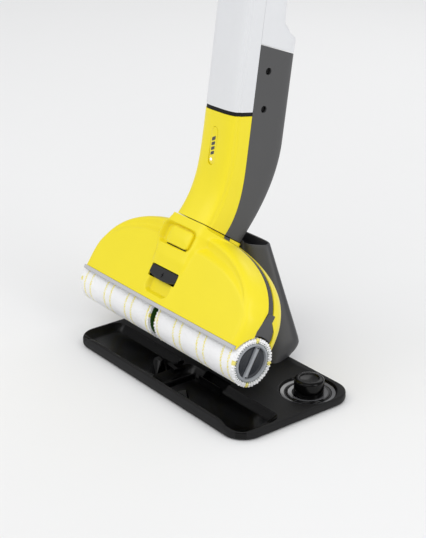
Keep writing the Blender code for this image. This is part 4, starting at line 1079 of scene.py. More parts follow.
        def at_cap(x: float, y: float, z: float) -> Vector:
            """A point round the cap's axis."""
            return world(cx + x, cy + y, z)

        profile = [(0, top - 1.3), (9.8, top - 1.3), (10.6, top - 1.1), (11.0, top - 0.5),
                   (11.3, top - 0.1), (11.9, top), (13.0, top), (r - 2.4, top - 0.25),
                   (r - 1.2, top - 0.8), (r - 0.4, top - 1.7), (r - 0.1, top - 3.0),
                   (r - 0.1, floor + 2.4), (r, floor + 1.9), (r, floor + 0.9),
                   (r - 0.8, floor + 0.35), (r - 2.6, floor + 0.35), (r - 3.0, 19.6), (0, 19.6)]
        show(Form.turned("cap_shell", profile, at_cap), Finish.BLACK_GLOSS, "measuring_cap",
             "measuring_cap", angle=50.0)
        refined("cap_post", Finish.BLACK_SATIN, self.body, 0.3)
        # The rings in the recess carry painted reflection in their lighter grey, besides their real
        # gloss.
        for name, low, high in self.recess_rings:
            ring = Form.turned(f"recess_ring_reflection_{name}", (
                (low, floor + 0.1), (high, floor + 0.1), (high, floor + 0.9),
                (low + 1.4, floor + 0.45), (low, floor + 0.3)), self.at_recess, 72)
            show(ring, Finish.RECESS_RING_REFLECTION, self.body)

    def build(self) -> None:
        """Make the whole station."""
        self.make_tray()
        self.make_tower()
        self.make_cap()
        refined("foot_strip", Finish.RUBBER, self.body, 0.3)


# --- floor head -----------------------------------------------------------------------------------
@dataclass
class Arch:
    """Family of arched outlines that every piece of the head follows."""

    middle: float = 20.0
    power: float = 2.45

    def outline(self, half: float, height: float, bottom: float, count: int = 220,
                lobe: float | None = None) -> list[Pair]:
        """Open outline (x, u) from the lower right corner round to the lower left, evenly stepped.

        Args:
            half: half width at the widest place.
            height: from the widest place to the top.
            bottom: height at which the outline starts and ends.
            count: number of points.
            lobe: half width that the lower sides come out to.

        Returns:
            The points.
        """
        fine = [(half, bottom)]
        for k in range(401):
            angle = math.pi * k / 400
            along, up = math.cos(angle), math.sin(angle)
            fine.append((math.copysign(half * abs(along) ** (2 / self.power), along),
                         self.middle + height * abs(up) ** (2 / self.power)))
        fine.append((-half, bottom))
        if lobe:
            fine = [self.lobed(x, u, half, lobe) for x, u in fine]
        return even(fine, count)

    @staticmethod
    def lobed(x: float, u: float, half: float, lobe: float) -> Pair:
        """A point moved out towards the lobe beside the side plates."""
        grown = 1 - ease(u, 42.0, 58.0)
        return x + math.copysign((lobe - half) * grown * (abs(x) / half) ** 6, x), u


@dataclass
class HeadCovers:
    """Yellow front and rear covers, the dark band between them and what the front cover carries."""

    arch: Arch = field(default_factory=Arch)
    band_front: float = 6.0
    band_back: float = -3.6
    roller_clear: float = 30.0
    face: float = 40.0
    saddle: float = 44.0
    wall: float = 2.6
    rim: Pair = (141.0, 81.8)
    boss_half: float = 29.2
    boss_top: float = 114.5
    columns: int = 290
    wall_stops: tuple[tuple[float, ...], ...] = (
        (6.0, 152.5, 92.0, 152.5), (11.0, 151.8, 91.6, 152.4), (18.0, 150.2, 90.5, 152.0),
        (24.0, 148.4, 88.9, 150.8), (28.6, 146.4, 87.0, 149.0), (31.8, 143.8, 84.6, 146.6),
        (33.2, 141.0, 81.8, 143.4))
    rear_stops: tuple[tuple[float, ...], ...] = (
        (-3.6, 152.5, 92.0), (-9.0, 151.8, 91.2), (-14.0, 151.0, 90.0), (-22.0, 148.0, 87.0),
        (-27.0, 142.6, 81.6), (-29.2, 137.0, 76.0), (-30.0, 130.0, 69.0))
    rear_hollow: tuple[tuple[float, ...], ...] = (
        (4.0, 149.6, 89.2), (-13.0, 148.4, 87.4), (-20.5, 145.4, 84.2), (-25.0, 140.8, 79.4),
        (-27.4, 127.0, 66.0))
    saddle_left: tuple[Pair, ...] = ((44, 26.0), (54, 29.0), (66, 29.5), (78, 34.0), (86, 38.5),
                                     (97, 38.5), (106, 32.5), (114.5, 29.2))
    saddle_right: tuple[Pair, ...] = ((44, 26.0), (54, 29.0), (70, 28.8), (86, 30.5),
                                      (98, 29.0), (106, 28.5), (114.5, 29.2))
    face_bottom: float = 7.2
    face_rows: int = 84
    rear_screw: Pair = (58.0, 82.0)
    flap_hinge: tuple[float, float, float] = (48.0, 38.6, 1.8)
    # How far the black strip of painted shade under the button stands out of the cover.
    shade_strip_lift: float = 0.35
    body: str = "head_cover"
    head_body: str = "floor_head"

    def face_depth(self, x: float) -> float:
        """Depth of the front face, which curves back towards the sides."""
        return self.face - 6.0 * (x / 150.0) ** 2

    def crease(self, x: float) -> float:
        """Share of the way to the rim at which the face's soft crease lies."""
        return 0.77 + 0.225 * min(abs(x) / 136.0, 1.0) ** 1.9

    def rim_depth(self, x: float) -> float:
        """Depth of the rim around the valley."""
        return self.face_depth(x) - 6.4 * (0.995 - self.crease(x)) / 0.225 - 0.3

    def face_surface(self, x: float, u: float) -> float:
        """Depth of the face: a crowned middle, a soft crease, a valley and the rim."""
        half, height = self.rim
        g = ((abs(x) / half) ** self.arch.power
             + (max(u - self.arch.middle, 0.0) / height) ** self.arch.power) ** (
                 1 / self.arch.power)
        v = (g - self.crease(x)) / max(1 - self.crease(x), 0.02)
        face, rim = self.face_depth(x), self.rim_depth(x)
        drop = (face - rim) * ease(v, -0.12, 0.62)
        dip = 0.32 * (face - rim) * math.sin(math.pi * min(max((v - 0.12) / 0.88, 0.0), 1.0))
        return face - drop - dip

    def saddle_height(self, x: float, u: float) -> float:
        """Depth of the raised middle, far below the face outside it."""
        half = ramp(u, self.saddle_right if x > 0 else self.saddle_left)
        top = self.face - 1.5 + (self.saddle - self.face + 1.5) * ease(u, 40.0, 66.0)
        over = abs(x) - half
        fall = 0.5 * (over + math.sqrt(over * over + 6.0))
        return top - (2.4 - 1.1 * ease(u, 78, 108)) * fall - 0.9 * ease(u, 100, 116)

    def hollows(self, x: float, u: float) -> float:
        """Depth of the button's dish and of the scoop under the flap."""
        dish = box_distance(x + 5.0, u - 90.0, (31.5, 14.2), 9.0)
        scoop = box_distance(x, u - 28.5, (21.6, 12.0), 8.0)
        depth = (8.0 - 4.2 * ease(x, -4.0, 24.0)) * ease(-dish, -0.3, 4.0)
        return depth + 6.6 * ease(-scoop, -0.3, 3.6) * (1 - ease(u, 37.0, 40.0))

    def surface(self, x: float, u: float, level: float) -> float:
        """Depth of the front cover's outside over a point of its outline plane."""
        return soft_max(level, self.saddle_height(x, u), 2.6) - 0.35 - self.hollows(x, u)

    def roller_space(self, name: str, flare: Sequence[Pair], facing: int) -> bpy.types.Object:
        """Cutter for the room that a cover leaves around the rollers and the side plates."""
        start, stop = math.asin(flare[-1][0] / self.roller_clear), math.radians(-75)
        arc = []
        for k in range(41):
            angle = start + (stop - start) * k / 40
            arc.append((self.roller_clear * math.sin(angle),
                        facing * self.roller_clear * math.cos(angle)))
        behind = -facing * 60.0
        shape = [(flare[0][0], behind), *flare, *arc, (-60.0, arc[-1][1]), (-60.0, behind)]
        return Form.skin(name, [[HEAD.at(x, u, w) for u, w in shape] for x in (-160.0, 160.0)])

    def prism(self, name: str, outline: Sequence[Pair], low: float, high: float
              ) -> bpy.types.Object:
        """Solid over an outline of the head's plane between two depths."""
        return Form.skin(name, [[HEAD.at(x, u, w) for x, u in outline] for w in (low, high)])

    def make_front(self) -> None:
        """Front cover: flared wall, crowned face, raised middle with dish and scoop."""
        levels = curve_through(self.wall_stops, 4)
        rows = []
        for k, (depth, half, height, lobe) in enumerate(levels):
            below = 0.6 * k / (len(levels) - 1) * (1 - k / (len(levels) - 1))
            row = []
            for x, u in self.arch.outline(half, height, 5.2 + 2.0 * k / len(levels), self.columns,
                                          lobe):
                share = (depth - self.band_front) / (levels[-1][0] - self.band_front)
                level = self.band_front + share * (self.rim_depth(x) - self.band_front) - below
                if k:
                    reach = ease(u, 96.0, 110.0) * (1 - ease(abs(x), 28.2, 34.0))
                    lifted = self.surface(x, u, level)
                    boss_u = u + (self.boss_top - u) * reach if k < 3 else u
                    row.append(HEAD.at(x, boss_u, max(lifted, self.band_front)))
                else:
                    on_boss = 1.0 if abs(x) < self.boss_half and u > 90 else 0.0
                    row.append(HEAD.at(x, self.boss_top if on_boss else u, depth))
            rows.append(row)
        _, half, height, lobe = levels[-1]
        edge = self.arch.outline(half, height, self.face_bottom, self.columns, lobe)
        count, innermost = self.face_rows, 0.006
        for t in [1 - (k / count) ** 1.05 for k in range(1, count)] + [innermost]:
            row = []
            for x, u in edge:
                px, pu = x * t, self.face_bottom + (u - self.face_bottom) * t
                row.append(HEAD.at(px, pu, self.surface(px, pu, self.face_surface(px, pu))))
            rows.append(row)
        shell = Form.skin("front_cover_shell", rows, round_rows=False, caps=False, outward=False)
        if shell.data.polygons[len(shell.data.polygons) // 2].normal.y > 0:
            shell.data.flip_normals()
        thick = shell.modifiers.new("wall", "SOLIDIFY")
        thick.thickness, thick.offset = self.wall * MM, -1.0
        Form.settle(shell)
        flare = ((57.0, self.band_front), (47.0, 10.6), (34.0, 15.2), (25.8, 15.2))
        Form.combine(shell, [self.roller_space("front_roller_space", flare, 1)])
        Form.combine(shell, [
            Form.block("strip_rebate", HEAD.at, (-148, 2.0, 27.5), (148, 9.8, 50)),
            self.prism("button_hole", rounded_rectangle(-20.6, 20.6, 78.3, 101.1, 5.5), 30, 50),
            self.prism("flap_hole", rounded_rectangle(-25.4, 25.4, 34.8, 50.3, 1.5), 30, 50)])
        show(shell, Finish.YELLOW, self.body, "front_cover", angle=36.0)

    def make_button(self) -> None:
        """Crowned release button with a flange behind the cover."""
        def top(x: float, u: float) -> float:
            """Depth of the button's crown."""
            return self.saddle + 1.5 - 1.7 * (x / 20.0) ** 2 - 1.5 * ((u - 89.7) / 11.0) ** 2

        rings = [[HEAD.at(x, u, 36.8) for x, u in rounded_rectangle(-21.6, 21.6, 77.4, 102, 5)],
                 [HEAD.at(x, u, 38.9) for x, u in rounded_rectangle(-21.6, 21.6, 77.4, 102, 5)],
                 [HEAD.at(x, u, 39.0) for x, u in rounded_rectangle(-20, 20, 78.9, 100.5, 5)]]
        for inset, drop in ((0.0, 1.6), (0.15, 0.9), (0.55, 0.35), (1.2, 0.08), (2.2, 0.0),
                            (4.5, 0.0), (7.5, 0.0), (9.8, 0.0)):
            shape = rounded_rectangle(-20 + inset, 20 - inset, 78.9 + inset, 100.5 - inset,
                                      max(5.0 - inset * 0.45, 0.9))
            rings.append([HEAD.at(x, u, top(x, u) - drop) for x, u in shape])
        show(Form.skin("button_pad", rings), Finish.YELLOW, "cover_button", "release_button",
             angle=50.0)
        # Painted shade: a black strip on the cover under the button's lower edge stands for the
        # shadow in the gap there.
        gap = []
        for x in spread(-19.0, 19.0, 25):
            low = 78.0 - 1.9 * (1 - (x / 19.2) ** 2) ** 0.7
            lift = self.surface(x, 77.6, self.face_depth(x)) + self.shade_strip_lift
            gap.append([HEAD.at(x, u, w) for u, w in ((low, 39.3), (78.6, 39.3), (78.6, lift),
                                                      (low, lift))])
        show(Form.skin("button_gap_shade", gap), Finish.BLACK_SATIN, self.body)

    def make_flap(self) -> None:
        """Charging flap on its hinge barrel, with a plain bolt sign."""
        hinge_u, hinge_w, radius = self.flap_hinge
        rings = []
        for x in [-24.9, -24.7, -24.2, *spread(-23.4, 23.4, 37), 24.2, 24.7, 24.9]:
            edge = max(abs(x) - 23.4, 0.0) / 1.5
            slim = 0.45 * edge * edge
            sag = 1.0 - (x / 24.9) ** 2
            profile = [(hinge_u + (radius - slim) * math.sin(math.pi * k / 10),
                        hinge_w - (radius - slim) * math.cos(math.pi * k / 10))
                       for k in range(11)]
            low = 38.2 - 3.4 * sag + slim * 2
            front = hinge_w + radius + 0.5 - slim
            profile += [(45.0, front - 0.1), (42.0, front), (40.6, front - 0.1),
                        (low + 1.0, front - 0.35), (low + 0.35, front - 0.75),
                        (low, front - 1.3), (low, hinge_w - 0.7), (low + 0.4, hinge_w - 1.2),
                        (41.0, hinge_w - radius)]
            rings.append([HEAD.at(x * (1.0 if u > 40 else 1 - 0.014 * (40 - u)), u, w)
                          for u, w in profile])
        flap = Form.skin("flap_plate", rings)
        Form.combine(flap, [Form.turned("flap_bore", ((0, -30), (1.1, -30), (1.1, 30), (0, 30)),
                                        lambda a, b, x: HEAD.at(x, hinge_u + a, hinge_w + b), 32)])
        show(flap, Finish.FLAP_GREY, "socket_flap", "charge_flap", angle=40.0)
        bolt = ((0.9, 3.6), (-1.95, -0.35), (-0.4, -0.35), (-0.9, -3.6), (1.95, 0.55),
                (0.4, 0.55))
        depth = hinge_w + radius + 0.35
        sign = Form.skin("flap_sign", [[HEAD.at(x, 41.6 + u, w) for x, u in bolt]
                                       for w in (depth, depth + 0.32)])
        show(sign, Finish.BLACK_GLOSS, "socket_flap")

    def make_strip(self) -> None:
        """Grey wiper strip along the lower edge of the front cover."""
        rings = []
        for x in spread(-147.4, 147.4, 81):
            out = self.face_depth(x) + 0.5
            section = ((4.3, 30.4), (9.5, 30.0), (9.5, out - 0.4), (9.35, out - 0.12),
                       (9.0, out), (5.6, out - 0.45), (5.1, out - 0.7), (4.9, out - 1.1))
            rings.append([HEAD.at(x, u, w) for u, w in section])
        show(Form.skin("strip_bar", rings), Finish.STRIP_GREY, self.body, "wiper_strip")

    def make_rear(self) -> None:
        """Rear cover with its boss, hollow inside."""
        rings = [[HEAD.at(x, u, depth) for x, u in self.arch.outline(half, height, 18.9, 180)]
                 for depth, half, height in curve_through(self.rear_stops, 3)]
        shell = Form.skin("rear_cover_shell", rings)

        def boss(name: str, half: float, low: float, high: float, back: float, front: float
                 ) -> bpy.types.Object:
            """Boss with round back corners."""
            curve = cut_corners(((half, back + 12), (half, back + 3), (half - 4, back),
                                 (-half + 4, back), (-half, back + 3), (-half, back + 12)), 2)
            shape = [(half, front), *curve, (-half, front)]
            return Form.skin(name, [[HEAD.at(x, u, w) for x, w in shape] for u in (low, high)])

        Form.combine(shell, [boss("rear_boss", self.boss_half, 84.0, self.boss_top, -25.0,
                                  self.band_back)], "UNION")
        inner = [[HEAD.at(x, u, depth) for x, u in self.arch.outline(half, height, 21.6, 120)]
                 for depth, half, height in self.rear_hollow]
        Form.combine(shell, [Form.skin("rear_hollow", inner)])
        Form.combine(shell, [boss("rear_boss_hollow", self.boss_half - self.wall, 80.0,
                                  self.boss_top + 4, -22.4, 4.0)])
        flare = ((49.0, self.band_back), (41.0, -11.2), (32.0, -14.0), (26.5, -14.0))
        Form.combine(shell, [self.roller_space("rear_roller_space", flare, -1)])
        screw_x, screw_u = self.rear_screw
        holes = [Form.turned(f"screw_hole_{side}", ((0, -34), (1.8, -34), (1.8, -24), (0, -24)),
                             lambda a, b, w, s=side: HEAD.at(screw_x * s + a, screw_u + b, w), 24)
                 for side in (-1, 1)]
        Form.combine(shell, holes)
        show(shell, Finish.YELLOW, self.head_body, "rear_cover", angle=36.0)
        for side, name in ((-1, "left"), (1, "right")):
            def at_screw(a: float, b: float, w: float, side: int = side) -> Vector:
                """A point round the screw."""
                return HEAD.at(screw_x * side + a, screw_u + b, w)

            head = ((0, -31.9), (1.0, -31.9), (1.05, -32.5), (2.2, -32.5), (2.8, -32.1),
                    (3.05, -31.4), (3.05, -30.3), (1.4, -30.3), (1.4, -14), (0, -14))
            show(Form.turned(f"screw_{name}", head, at_screw, 48), Finish.STEEL, self.head_body,
                 f"head_screw_{name}", angle=45.0)

    def make_band(self) -> None:
        """Dark band between the covers, with a chamfer towards the front."""
        half_levels = ((self.band_back + 0.3, 151.0, 90.5), (-2.5, 151.9, 91.4),
                       (2.4, 151.9, 91.4), (self.band_front - 0.35, 149.4, 88.9))
        rings = []
        for depth, half, height in half_levels:
            edge = self.arch.outline(half, height, 31.0, 200)
            lower = [(x, max(u, 31.0)) for x, u in edge]
            lifted = [(x, self.boss_top - 0.1) if abs(x) < self.boss_half - 0.2 and u > 90
                      else (x, u) for x, u in lower]
            rings.append([HEAD.at(x, u, depth) for x, u in lifted])
        band = Form.skin("band_frame", rings)
        pocket = Form.skin("band_pocket", [
            [HEAD.at(x, u, w) for x, u in self.arch.outline(147.6, 87.2, 33.5, 100)]
            for w in (-8.0, 2.4)])
        Form.combine(band, [pocket])
        openings = [Form.block("drive_opening", HEAD.at, (-76, 20, -8), (66, 86.0, 12))]
        for side in (-1, 1):
            left, right = sorted((side * 146.6, side * 160.0))
            openings.append(Form.block(f"side_opening_{side}", HEAD.at, (left, 20, -8),
                                       (right, 57.3, 12)))
        openings.append(Form.turned("socket_opening", ((0, 92.5), (18.4, 92.5), (18.4, 118),
                                                       (0, 118)),
                                    lambda x, y, u: HEAD.at(x, u, 8.0 + y), 48))
        Form.combine(band, openings)
        show(band, Finish.DARK_GREY, self.head_body, "chassis_frame", angle=28.0)

    def build(self) -> None:
        """Make the covers and their details."""
        self.make_front()
        self.make_button()
        self.make_flap()
        self.make_strip()
        self.make_rear()
        self.make_band()
        for side in ("left", "right"):
            refined(f"side_plate_{side}", Finish.DARK_GREY, self.head_body, 0.5, 3, 20.0)


@dataclass
class Rollers:
    """Two driven rollers: green cores, white pile sleeves and grey end caps with a finger grip."""

    pile_base: float = 27.95
    pile: float = 0.85
    sleeve_bore: float = 25.5
    half: float = 152.5
    gap: float = 5.0
    tufts_per_metre: float = 980000.0
    lumps: int = 44
    lean: float = math.radians(4.0)

    def make_sleeve(self, side: int, name: str, body: str, pile: GeometryTree,
                    ring: GeometryTree) -> None:
        """One sleeve: backing tube, tufted pile and lumpy ends."""
        length = self.half - self.gap - 2.4
        middle = side * (self.half + self.gap) / 2
        centre = Vector((middle, 0.0, HEAD.roller_height)) * MM
        fur = pile.apply(empty_mesh(f"pile_{name}"), {
            "Radius": self.pile_base * MM, "Length": length * MM, "Middle": centre,
            "Pile": self.pile * MM, "Density": self.tufts_per_metre, "Seed": 3 + side,
            "Material": Finish.PILE.material()})

        def along(a: float, b: float, x: float) -> Vector:
            """A point round the roller's axis."""
            return HEAD.along_roller(a, b, x * side)

        low, high, r = self.gap + 0.35, self.half - 0.35, self.pile_base
        backing = Form.turned(f"backing_{name}", (
            (self.sleeve_bore, low), (r - 1.9, low), (r - 1.2, low + 0.5), (r - 0.1, low + 2.4),
            (r - 0.1, high - 2.4), (r - 1.2, high - 0.5), (r - 1.9, high),
            (self.sleeve_bore, high)), along, 128)
        show(backing, Finish.PILE, body, f"roller_sleeve_{name}", angle=60.0)
        show(fur, Finish.PILE, body, angle=80.0)
        rows = (("edge", 27.5, 1.75, 1.6, self.lumps), ("face", 25.6, 1.6, 1.5, self.lumps + 3),
                ("inside", 23.9, 1.45, 1.35, self.lumps + 5))
        for end in ("inner", "outer"):
            for row, radius, lump, back, count in rows[:2 if end == "inner" else 3]:
                x = self.gap + back if end == "inner" else self.half - back
                fringe = ring.apply(empty_mesh(f"fringe_{name}_{end}_{row}"), {
                    "Radius": radius * MM, "Count": count,
                    "Middle": Vector((side * x, 0.0, HEAD.roller_height)) * MM,
                    "Lump": lump * MM, "Seed": 11 + side, "Material": Finish.PILE.material()})
                show(fringe, Finish.PILE, body, angle=80.0)

    def make_end_cap(self, side: int, name: str, body: str) -> None:
        """Grey ring, dark dished discs and a diagonal finger grip with a slot at each end; black
        sheets on the slot floors are painted shade.
        """
        def along(a: float, b: float, x: float) -> Vector:
            """A point round the roller's axis."""
            return HEAD.along_roller(a, b, x * side)

        def turned_by_lean(a: float, b: float, x: float) -> Vector:
            """The same in the grip's direction."""
            cos, sin = math.cos(self.lean), math.sin(self.lean)
            return along(a * cos - b * sin, a * sin + b * cos, x)

        ring = Form.turned(f"cap_ring_{name}", (
            (0, 143.0), (22.0, 143.0), (22.0, 149.0), (22.6, 149.0), (22.6, 151.2), (22.3, 151.8),
            (21.6, 152.15), (20.3, 152.2), (19.6, 151.9), (19.3, 151.2), (19.0, 148.4),
            (0, 148.4)), along, 112)
        show(ring, Finish.CAP_GREY, body, f"end_cap_{name}", angle=40.0)
        disc = Form.turned(f"cap_disc_{name}", (
            (0, 148.45), (18.8, 148.45), (18.8, 149.3), (17.9, 148.95), (14.6, 148.75),
            (0, 148.6)), along, 96)
        show(disc, Finish.CAP_DISC, body, angle=50.0)
        section = ((-2.9, 148.7), (-2.7, 150.6), (-2.2, 151.5), (-1.3, 151.9), (1.3, 151.9),
                   (2.2, 151.5), (2.7, 150.6), (2.9, 148.7))
        rings = []
        for a in spread(-19.0, 19.0, 41):
            wide = 1.0 - 0.28 * math.cos(a / 19.0 * math.pi / 2)
            rings.append([turned_by_lean(a, b * wide, x) for b, x in section])
        grip = Form.skin(f"cap_grip_{name}", rings)
        slots = [Form.block(f"grip_slot_{k}", turned_by_lean, (a - 0.8, -1.9, 150.9),
                            (a + 0.8, 1.9, 153)) for k, a in enumerate((-17.6, 17.6))]
        Form.combine(grip, slots)
        show(grip, Finish.CAP_GREY, body, angle=40.0)
        # Painted shade: black sheets on the floors of the shallow slots stand for the shadow inside
        # them.
        for k, a in enumerate((-17.6, 17.6)):
            fill = Form.block(f"slot_shade_{name}_{k}", turned_by_lean, (a - 0.75, -1.85, 150.85),
                              (a + 0.75, 1.85, 151.0))
            show(fill, Finish.BLACK_SATIN, body)

    def build(self) -> None:
        """Make both rollers."""
        pile, ring = pile_tree(), ring_tree()
        for side, name in ((-1, "left"), (1, "right")):
            body = f"{name}_roller"
            self.make_sleeve(side, name, body, pile, ring)
            self.make_end_cap(side, name, body)
            frame["nodes"][f"roller_core_{name}"].data.shade_smooth()


# --- stick ----------------------------------------------------------------------------------------
@dataclass
class Stick:
    """Neck, housings, shell, tank, tube and grip."""

    half: float = 29.5
    wall: float = 2.6
    split: float = 0.15
    neck_end: float = 143.2
    shell_start: float = 148.0
    shell_end: float = 560.0
    housing_front_top: float = 223.0
    housing_back_top: float = 213.7
    tank_start: float = 308.0
    tank_end: float = 540.0
    tube_start: float = 606.0
    tube_end: float = 890.0
    grip_length: float = 190.0
    window_middle: float = 101.6
    bolts: Pair = (151.0, 194.7)
    bolt_depth: float = -16.2
    body: str = "stick"

    def front_line(self, s: float, inset: float) -> list[Pair]:
        """Right half of the front shell's section (x, d), from the split to the middle."""
        front = 26.0 + 8.5 * math.exp(-((s / 65.0) ** 2)) - inset
        half = self.half - inset
        line = [(half, self.split), (half, front - 10.5), (half - 0.2, front - 9.0),
                (half - 1.7, front - 7.4), (half - 1.3, front - 5.4), (half - 2.2, front - 2.8),
                (half - 7.5, front), (half - 17.0, front + 1.5), (0.0, front + 1.5)]
        return self.eased(line)

    def back_line(self, s: float, inset: float, depth: float | None = None) -> list[Pair]:
        """Right half of the rear housing's section, from the split to the middle."""
        t = min(max(s / 110.0, 0.0), 1.0)
        back = (depth or 34.0 + 24.0 * (3 - 2 * t) * t * t) - inset
        half = self.half - inset
        line = [(half, -self.split), (half, -back + 14), (half - 1.6, -back + 6),
                (half - 6.5, -back + 1), (half - 14.0, -back), (0.0, -back)]
        return self.eased(line)

    @staticmethod
    def eased(line: Sequence[Pair]) -> list[Pair]:
        """The line with its corners rounded, its ends kept."""
        straight = [line[0], ((line[0][0] * 0.3 + line[1][0] * 0.7),
                              line[0][1] * 0.3 + line[1][1] * 0.7), *line[1:]]
        return even(cut_corners(straight, 3), 46)

    def shell_rings(self, line: Callable[[float, float], list[Pair]], stations: Iterable[float],
                    wall: float | None = None) -> list[Ring]:
        """Rings of a U-shaped wall."""
        rings = []
        for s in stations:
            outer, inner = line(s, 0.0), line(s, wall or self.wall)
            shape = (outer + [(-x, d) for x, d in reversed(outer[:-1])]
                     + [(-x, d) for x, d in inner] + list(reversed(inner[:-1])))
            rings.append([STICK.at(x, d, s) for x, d in shape])
        return rings

    def pill(self, name: str, half_width: float, half_length: float, low: float, high: float,
             middle: float | None = None) -> bpy.types.Object:
        """Pill-shaped solid across the front shell."""
        rings = []
        for d in (low, high):
            ring = []
            for end in (1, -1):
                for k in range(17):
                    angle = math.pi * k / 16 + (0 if end > 0 else math.pi)
                    ring.append(STICK.at(half_width * math.cos(angle), d,
                                         (middle or self.window_middle)
                                         + end * (half_length - half_width)
                                         + half_width * math.sin(angle)))
            rings.append(ring)
        return Form.skin(name, rings)

    def plate(self, name: str, half_x: float, s: float, half_s: float, d: float, thick: float,
              lean: float = 0.0) -> bpy.types.Object:
        """Small plate on the front shell, optionally slanted."""
        radius = min(half_x, half_s) * 0.45
        shape = rounded_rectangle(-half_x, half_x, -half_s, half_s, radius, 4)
        return Form.skin(name, [[STICK.at(x, d + h, s + y + x * lean) for x, y in shape]
                                for h in (0.0, thick)])

    def make_neck(self) -> None:
        """Yellow neck with its status window, level bars and lamp."""
        neck = Form.skin("neck", self.shell_rings(self.front_line,
                                                  spread(0.25, self.neck_end, 46)))
        Form.combine(neck, [self.pill("window_hole", 5.6, 24.3, 24.0, 40.0)])
        show(neck, Finish.YELLOW, self.body, "neck_shell", angle=40.0)
        window = self.pill("window_plate", 5.25, 23.95, 25.6, 28.2)
        Form.soften(window, 0.35, 3)
        show(window, Finish.YELLOW_GLOSS, self.body, "status_window", angle=40.0)
        top = 28.2
        for k, s in enumerate((93.2, 99.5, 105.8, 112.1)):
            bar = self.plate(f"level_bar_{k + 1}", 2.9, s, 2.1, top - 0.1, 0.35, 0.5)
            show(bar, Finish.DARK_GREY, self.body)
        lamp = Form.turned("status_lamp", ((0, top - 0.2), (1.9, top - 0.2), (1.9, top + 0.1),
                                           (1.4, top + 0.35), (0, top + 0.45)),
                           lambda a, b, d: STICK.at(a - 1.3, d, 84.4 + b), 32)
        show(lamp, Finish.LAMP, self.body)
        ring = Form.skin("seam_band", self.shell_rings(
            lambda s, t: self.front_line(s, t + 0.45), (self.neck_end + 0.3, 144.2,
                                                        self.shell_start - 0.9,
                                                        self.shell_start - 0.3)))
        show(ring, Finish.BLACK_SATIN, self.body, "seam_ring", angle=40.0)

    def make_housing(self) -> None:
        """Dark rear housing with the two bolts across it."""
        housing = Form.skin("rear_housing", self.shell_rings(self.back_line,
                                                             spread(0.25, 228.0, 58)))
        top_cut = Form.skin("housing_top_cut", [
            [STICK.at(x, d, s) for x, d, s in ((x, 6, self.housing_front_top + 3.2),
                                               (x, -70, self.housing_back_top - 2.6),
                                               (x, -70, 260), (x, 6, 260))] for x in (-40, 40)])
        Form.combine(housing, [top_cut])
        bores = []
        for k, s in enumerate(self.bolts):
            bores.append(Form.turned(f"bolt_bore_{k}", ((0, -36), (4.6, -36), (4.1, -28.6),
                                                        (4.1, 28.6), (4.6, 36), (0, 36)),
                                     lambda a, b, x, s=s: STICK.at(x, self.bolt_depth + a, s + b),
                                     40))
        Form.combine(housing, bores)
        show(housing, Finish.DARK_GREY, self.body, "lower_housing", angle=36.0)
        for name, s in zip(("low", "high"), self.bolts):
            profile = [(0, -26.6), (1.2, -26.6), (1.3, -27.2), (2.4, -27.2), (2.85, -26.8),
                       (2.85, -25.4), (1.8, -25.4), (1.8, 25.4), (2.85, 25.4), (2.85, 26.8),
                       (2.4, 27.2), (1.3, 27.2), (1.2, 26.6), (0, 26.6)]
            bolt = Form.turned(f"cross_bolt_{name}", profile,
                               lambda a, b, x, s=s: STICK.at(x, self.bolt_depth + a, s + b), 40)
            show(bolt, Finish.BLACK_SATIN, self.body, f"housing_bolt_{name}", angle=45.0)

    def make_upper(self) -> None:
        """Light grey shell and the cradle that holds the tank."""
        shell = Form.skin("grey_shell", self.shell_rings(
            self.front_line, (self.shell_start, self.shell_start + 0.5, 190, 230, 300, 400, 500,
                              self.shell_end)))
        show(shell, Finish.LIGHT_GREY, self.body, "upper_shell", angle=40.0)

        def cradle_line(s: float, inset: float) -> list[Pair]:
            """Section of the cradle: a full foot, then a finger recess."""
            depth = ramp(s, ((206.0, 57.6), (231.0, 58.4), (240.0, 47.0), (250.0, 39.3),
                             (268.0, 37.8), (288.0, 40.5), (self.tank_start - 1.0, 52.0)))
            return self.back_line(s, inset, depth)

        cradle = Form.skin("grey_cradle", self.shell_rings(
            cradle_line, spread(206.0, self.tank_start - 1.0, 44)))
        low_cut = Form.skin("cradle_low_cut", [
            [STICK.at(x, d, s) for x, d, s in ((x, 6, self.housing_front_top + 4.0),
                                               (x, -70, self.housing_back_top - 1.8),
                                               (x, -70, 190), (x, 6, 190))] for x in (-40, 40)])
        Form.combine(cradle, [low_cut])
        shelf = Form.skin("cradle_shelf", [
            [STICK.at(x, d, s) for x, d in ((27.0, -1), (27.0, -46), (-27.0, -46), (-27.0, -1))]
            for s in (self.tank_start - 6.0, self.tank_start - 3.4)])
        Form.combine(cradle, [shelf], "UNION")
        show(cradle, Finish.LIGHT_GREY, self.body, "tank_cradle", angle=38.0)

    def make_tank(self) -> None:
        """Smoky fresh-water tank with its filler cap."""
        def depth(s: float) -> float:
            """Depth of the tank, drawn in at both ends."""
            return ramp(s, ((self.tank_start, 52.5), (self.tank_start + 8, 57.0),
                            (self.tank_start + 16, 58.0), (self.tank_end - 34, 58.0),
                            (self.tank_end - 8, 54.0), (self.tank_end, 50.0)))

        stations = [self.tank_start, self.tank_start + 0.8, *spread(self.tank_start + 3,
                    self.tank_end - 3, 34), self.tank_end - 0.8, self.tank_end]
        rings = []
        for s in stations:
            inset = 0.7 if s in (stations[0], stations[-1]) else 0.0
            line = [(x, min(d, -1.2)) for x, d in self.back_line(s, inset, depth(s))]
            rings.append([STICK.at(x, d, s) for x, d in line]
                         + [STICK.at(-x, d, s) for x, d in reversed(line[:-1])])
        tank = Form.skin("water_tank_shell", rings)
        hollow = [[STICK.at(x, d, s) for x, d in ((27.0, -3.6), (27.0, -42), (18, -50), (-18, -50),
                                                  (-27.0, -42), (-27.0, -3.6))]
                  for s in (self.tank_start + 2.6, self.tank_end - 4.2)]
        Form.combine(tank, [Form.skin("tank_inside", hollow)])

        def at_filler(a: float, b: float, h: float) -> Vector:
            """A point round the filler's axis, h out of the tank's back."""
            return STICK.at(a, -54.5 - h, self.tank_end - 62 + b)

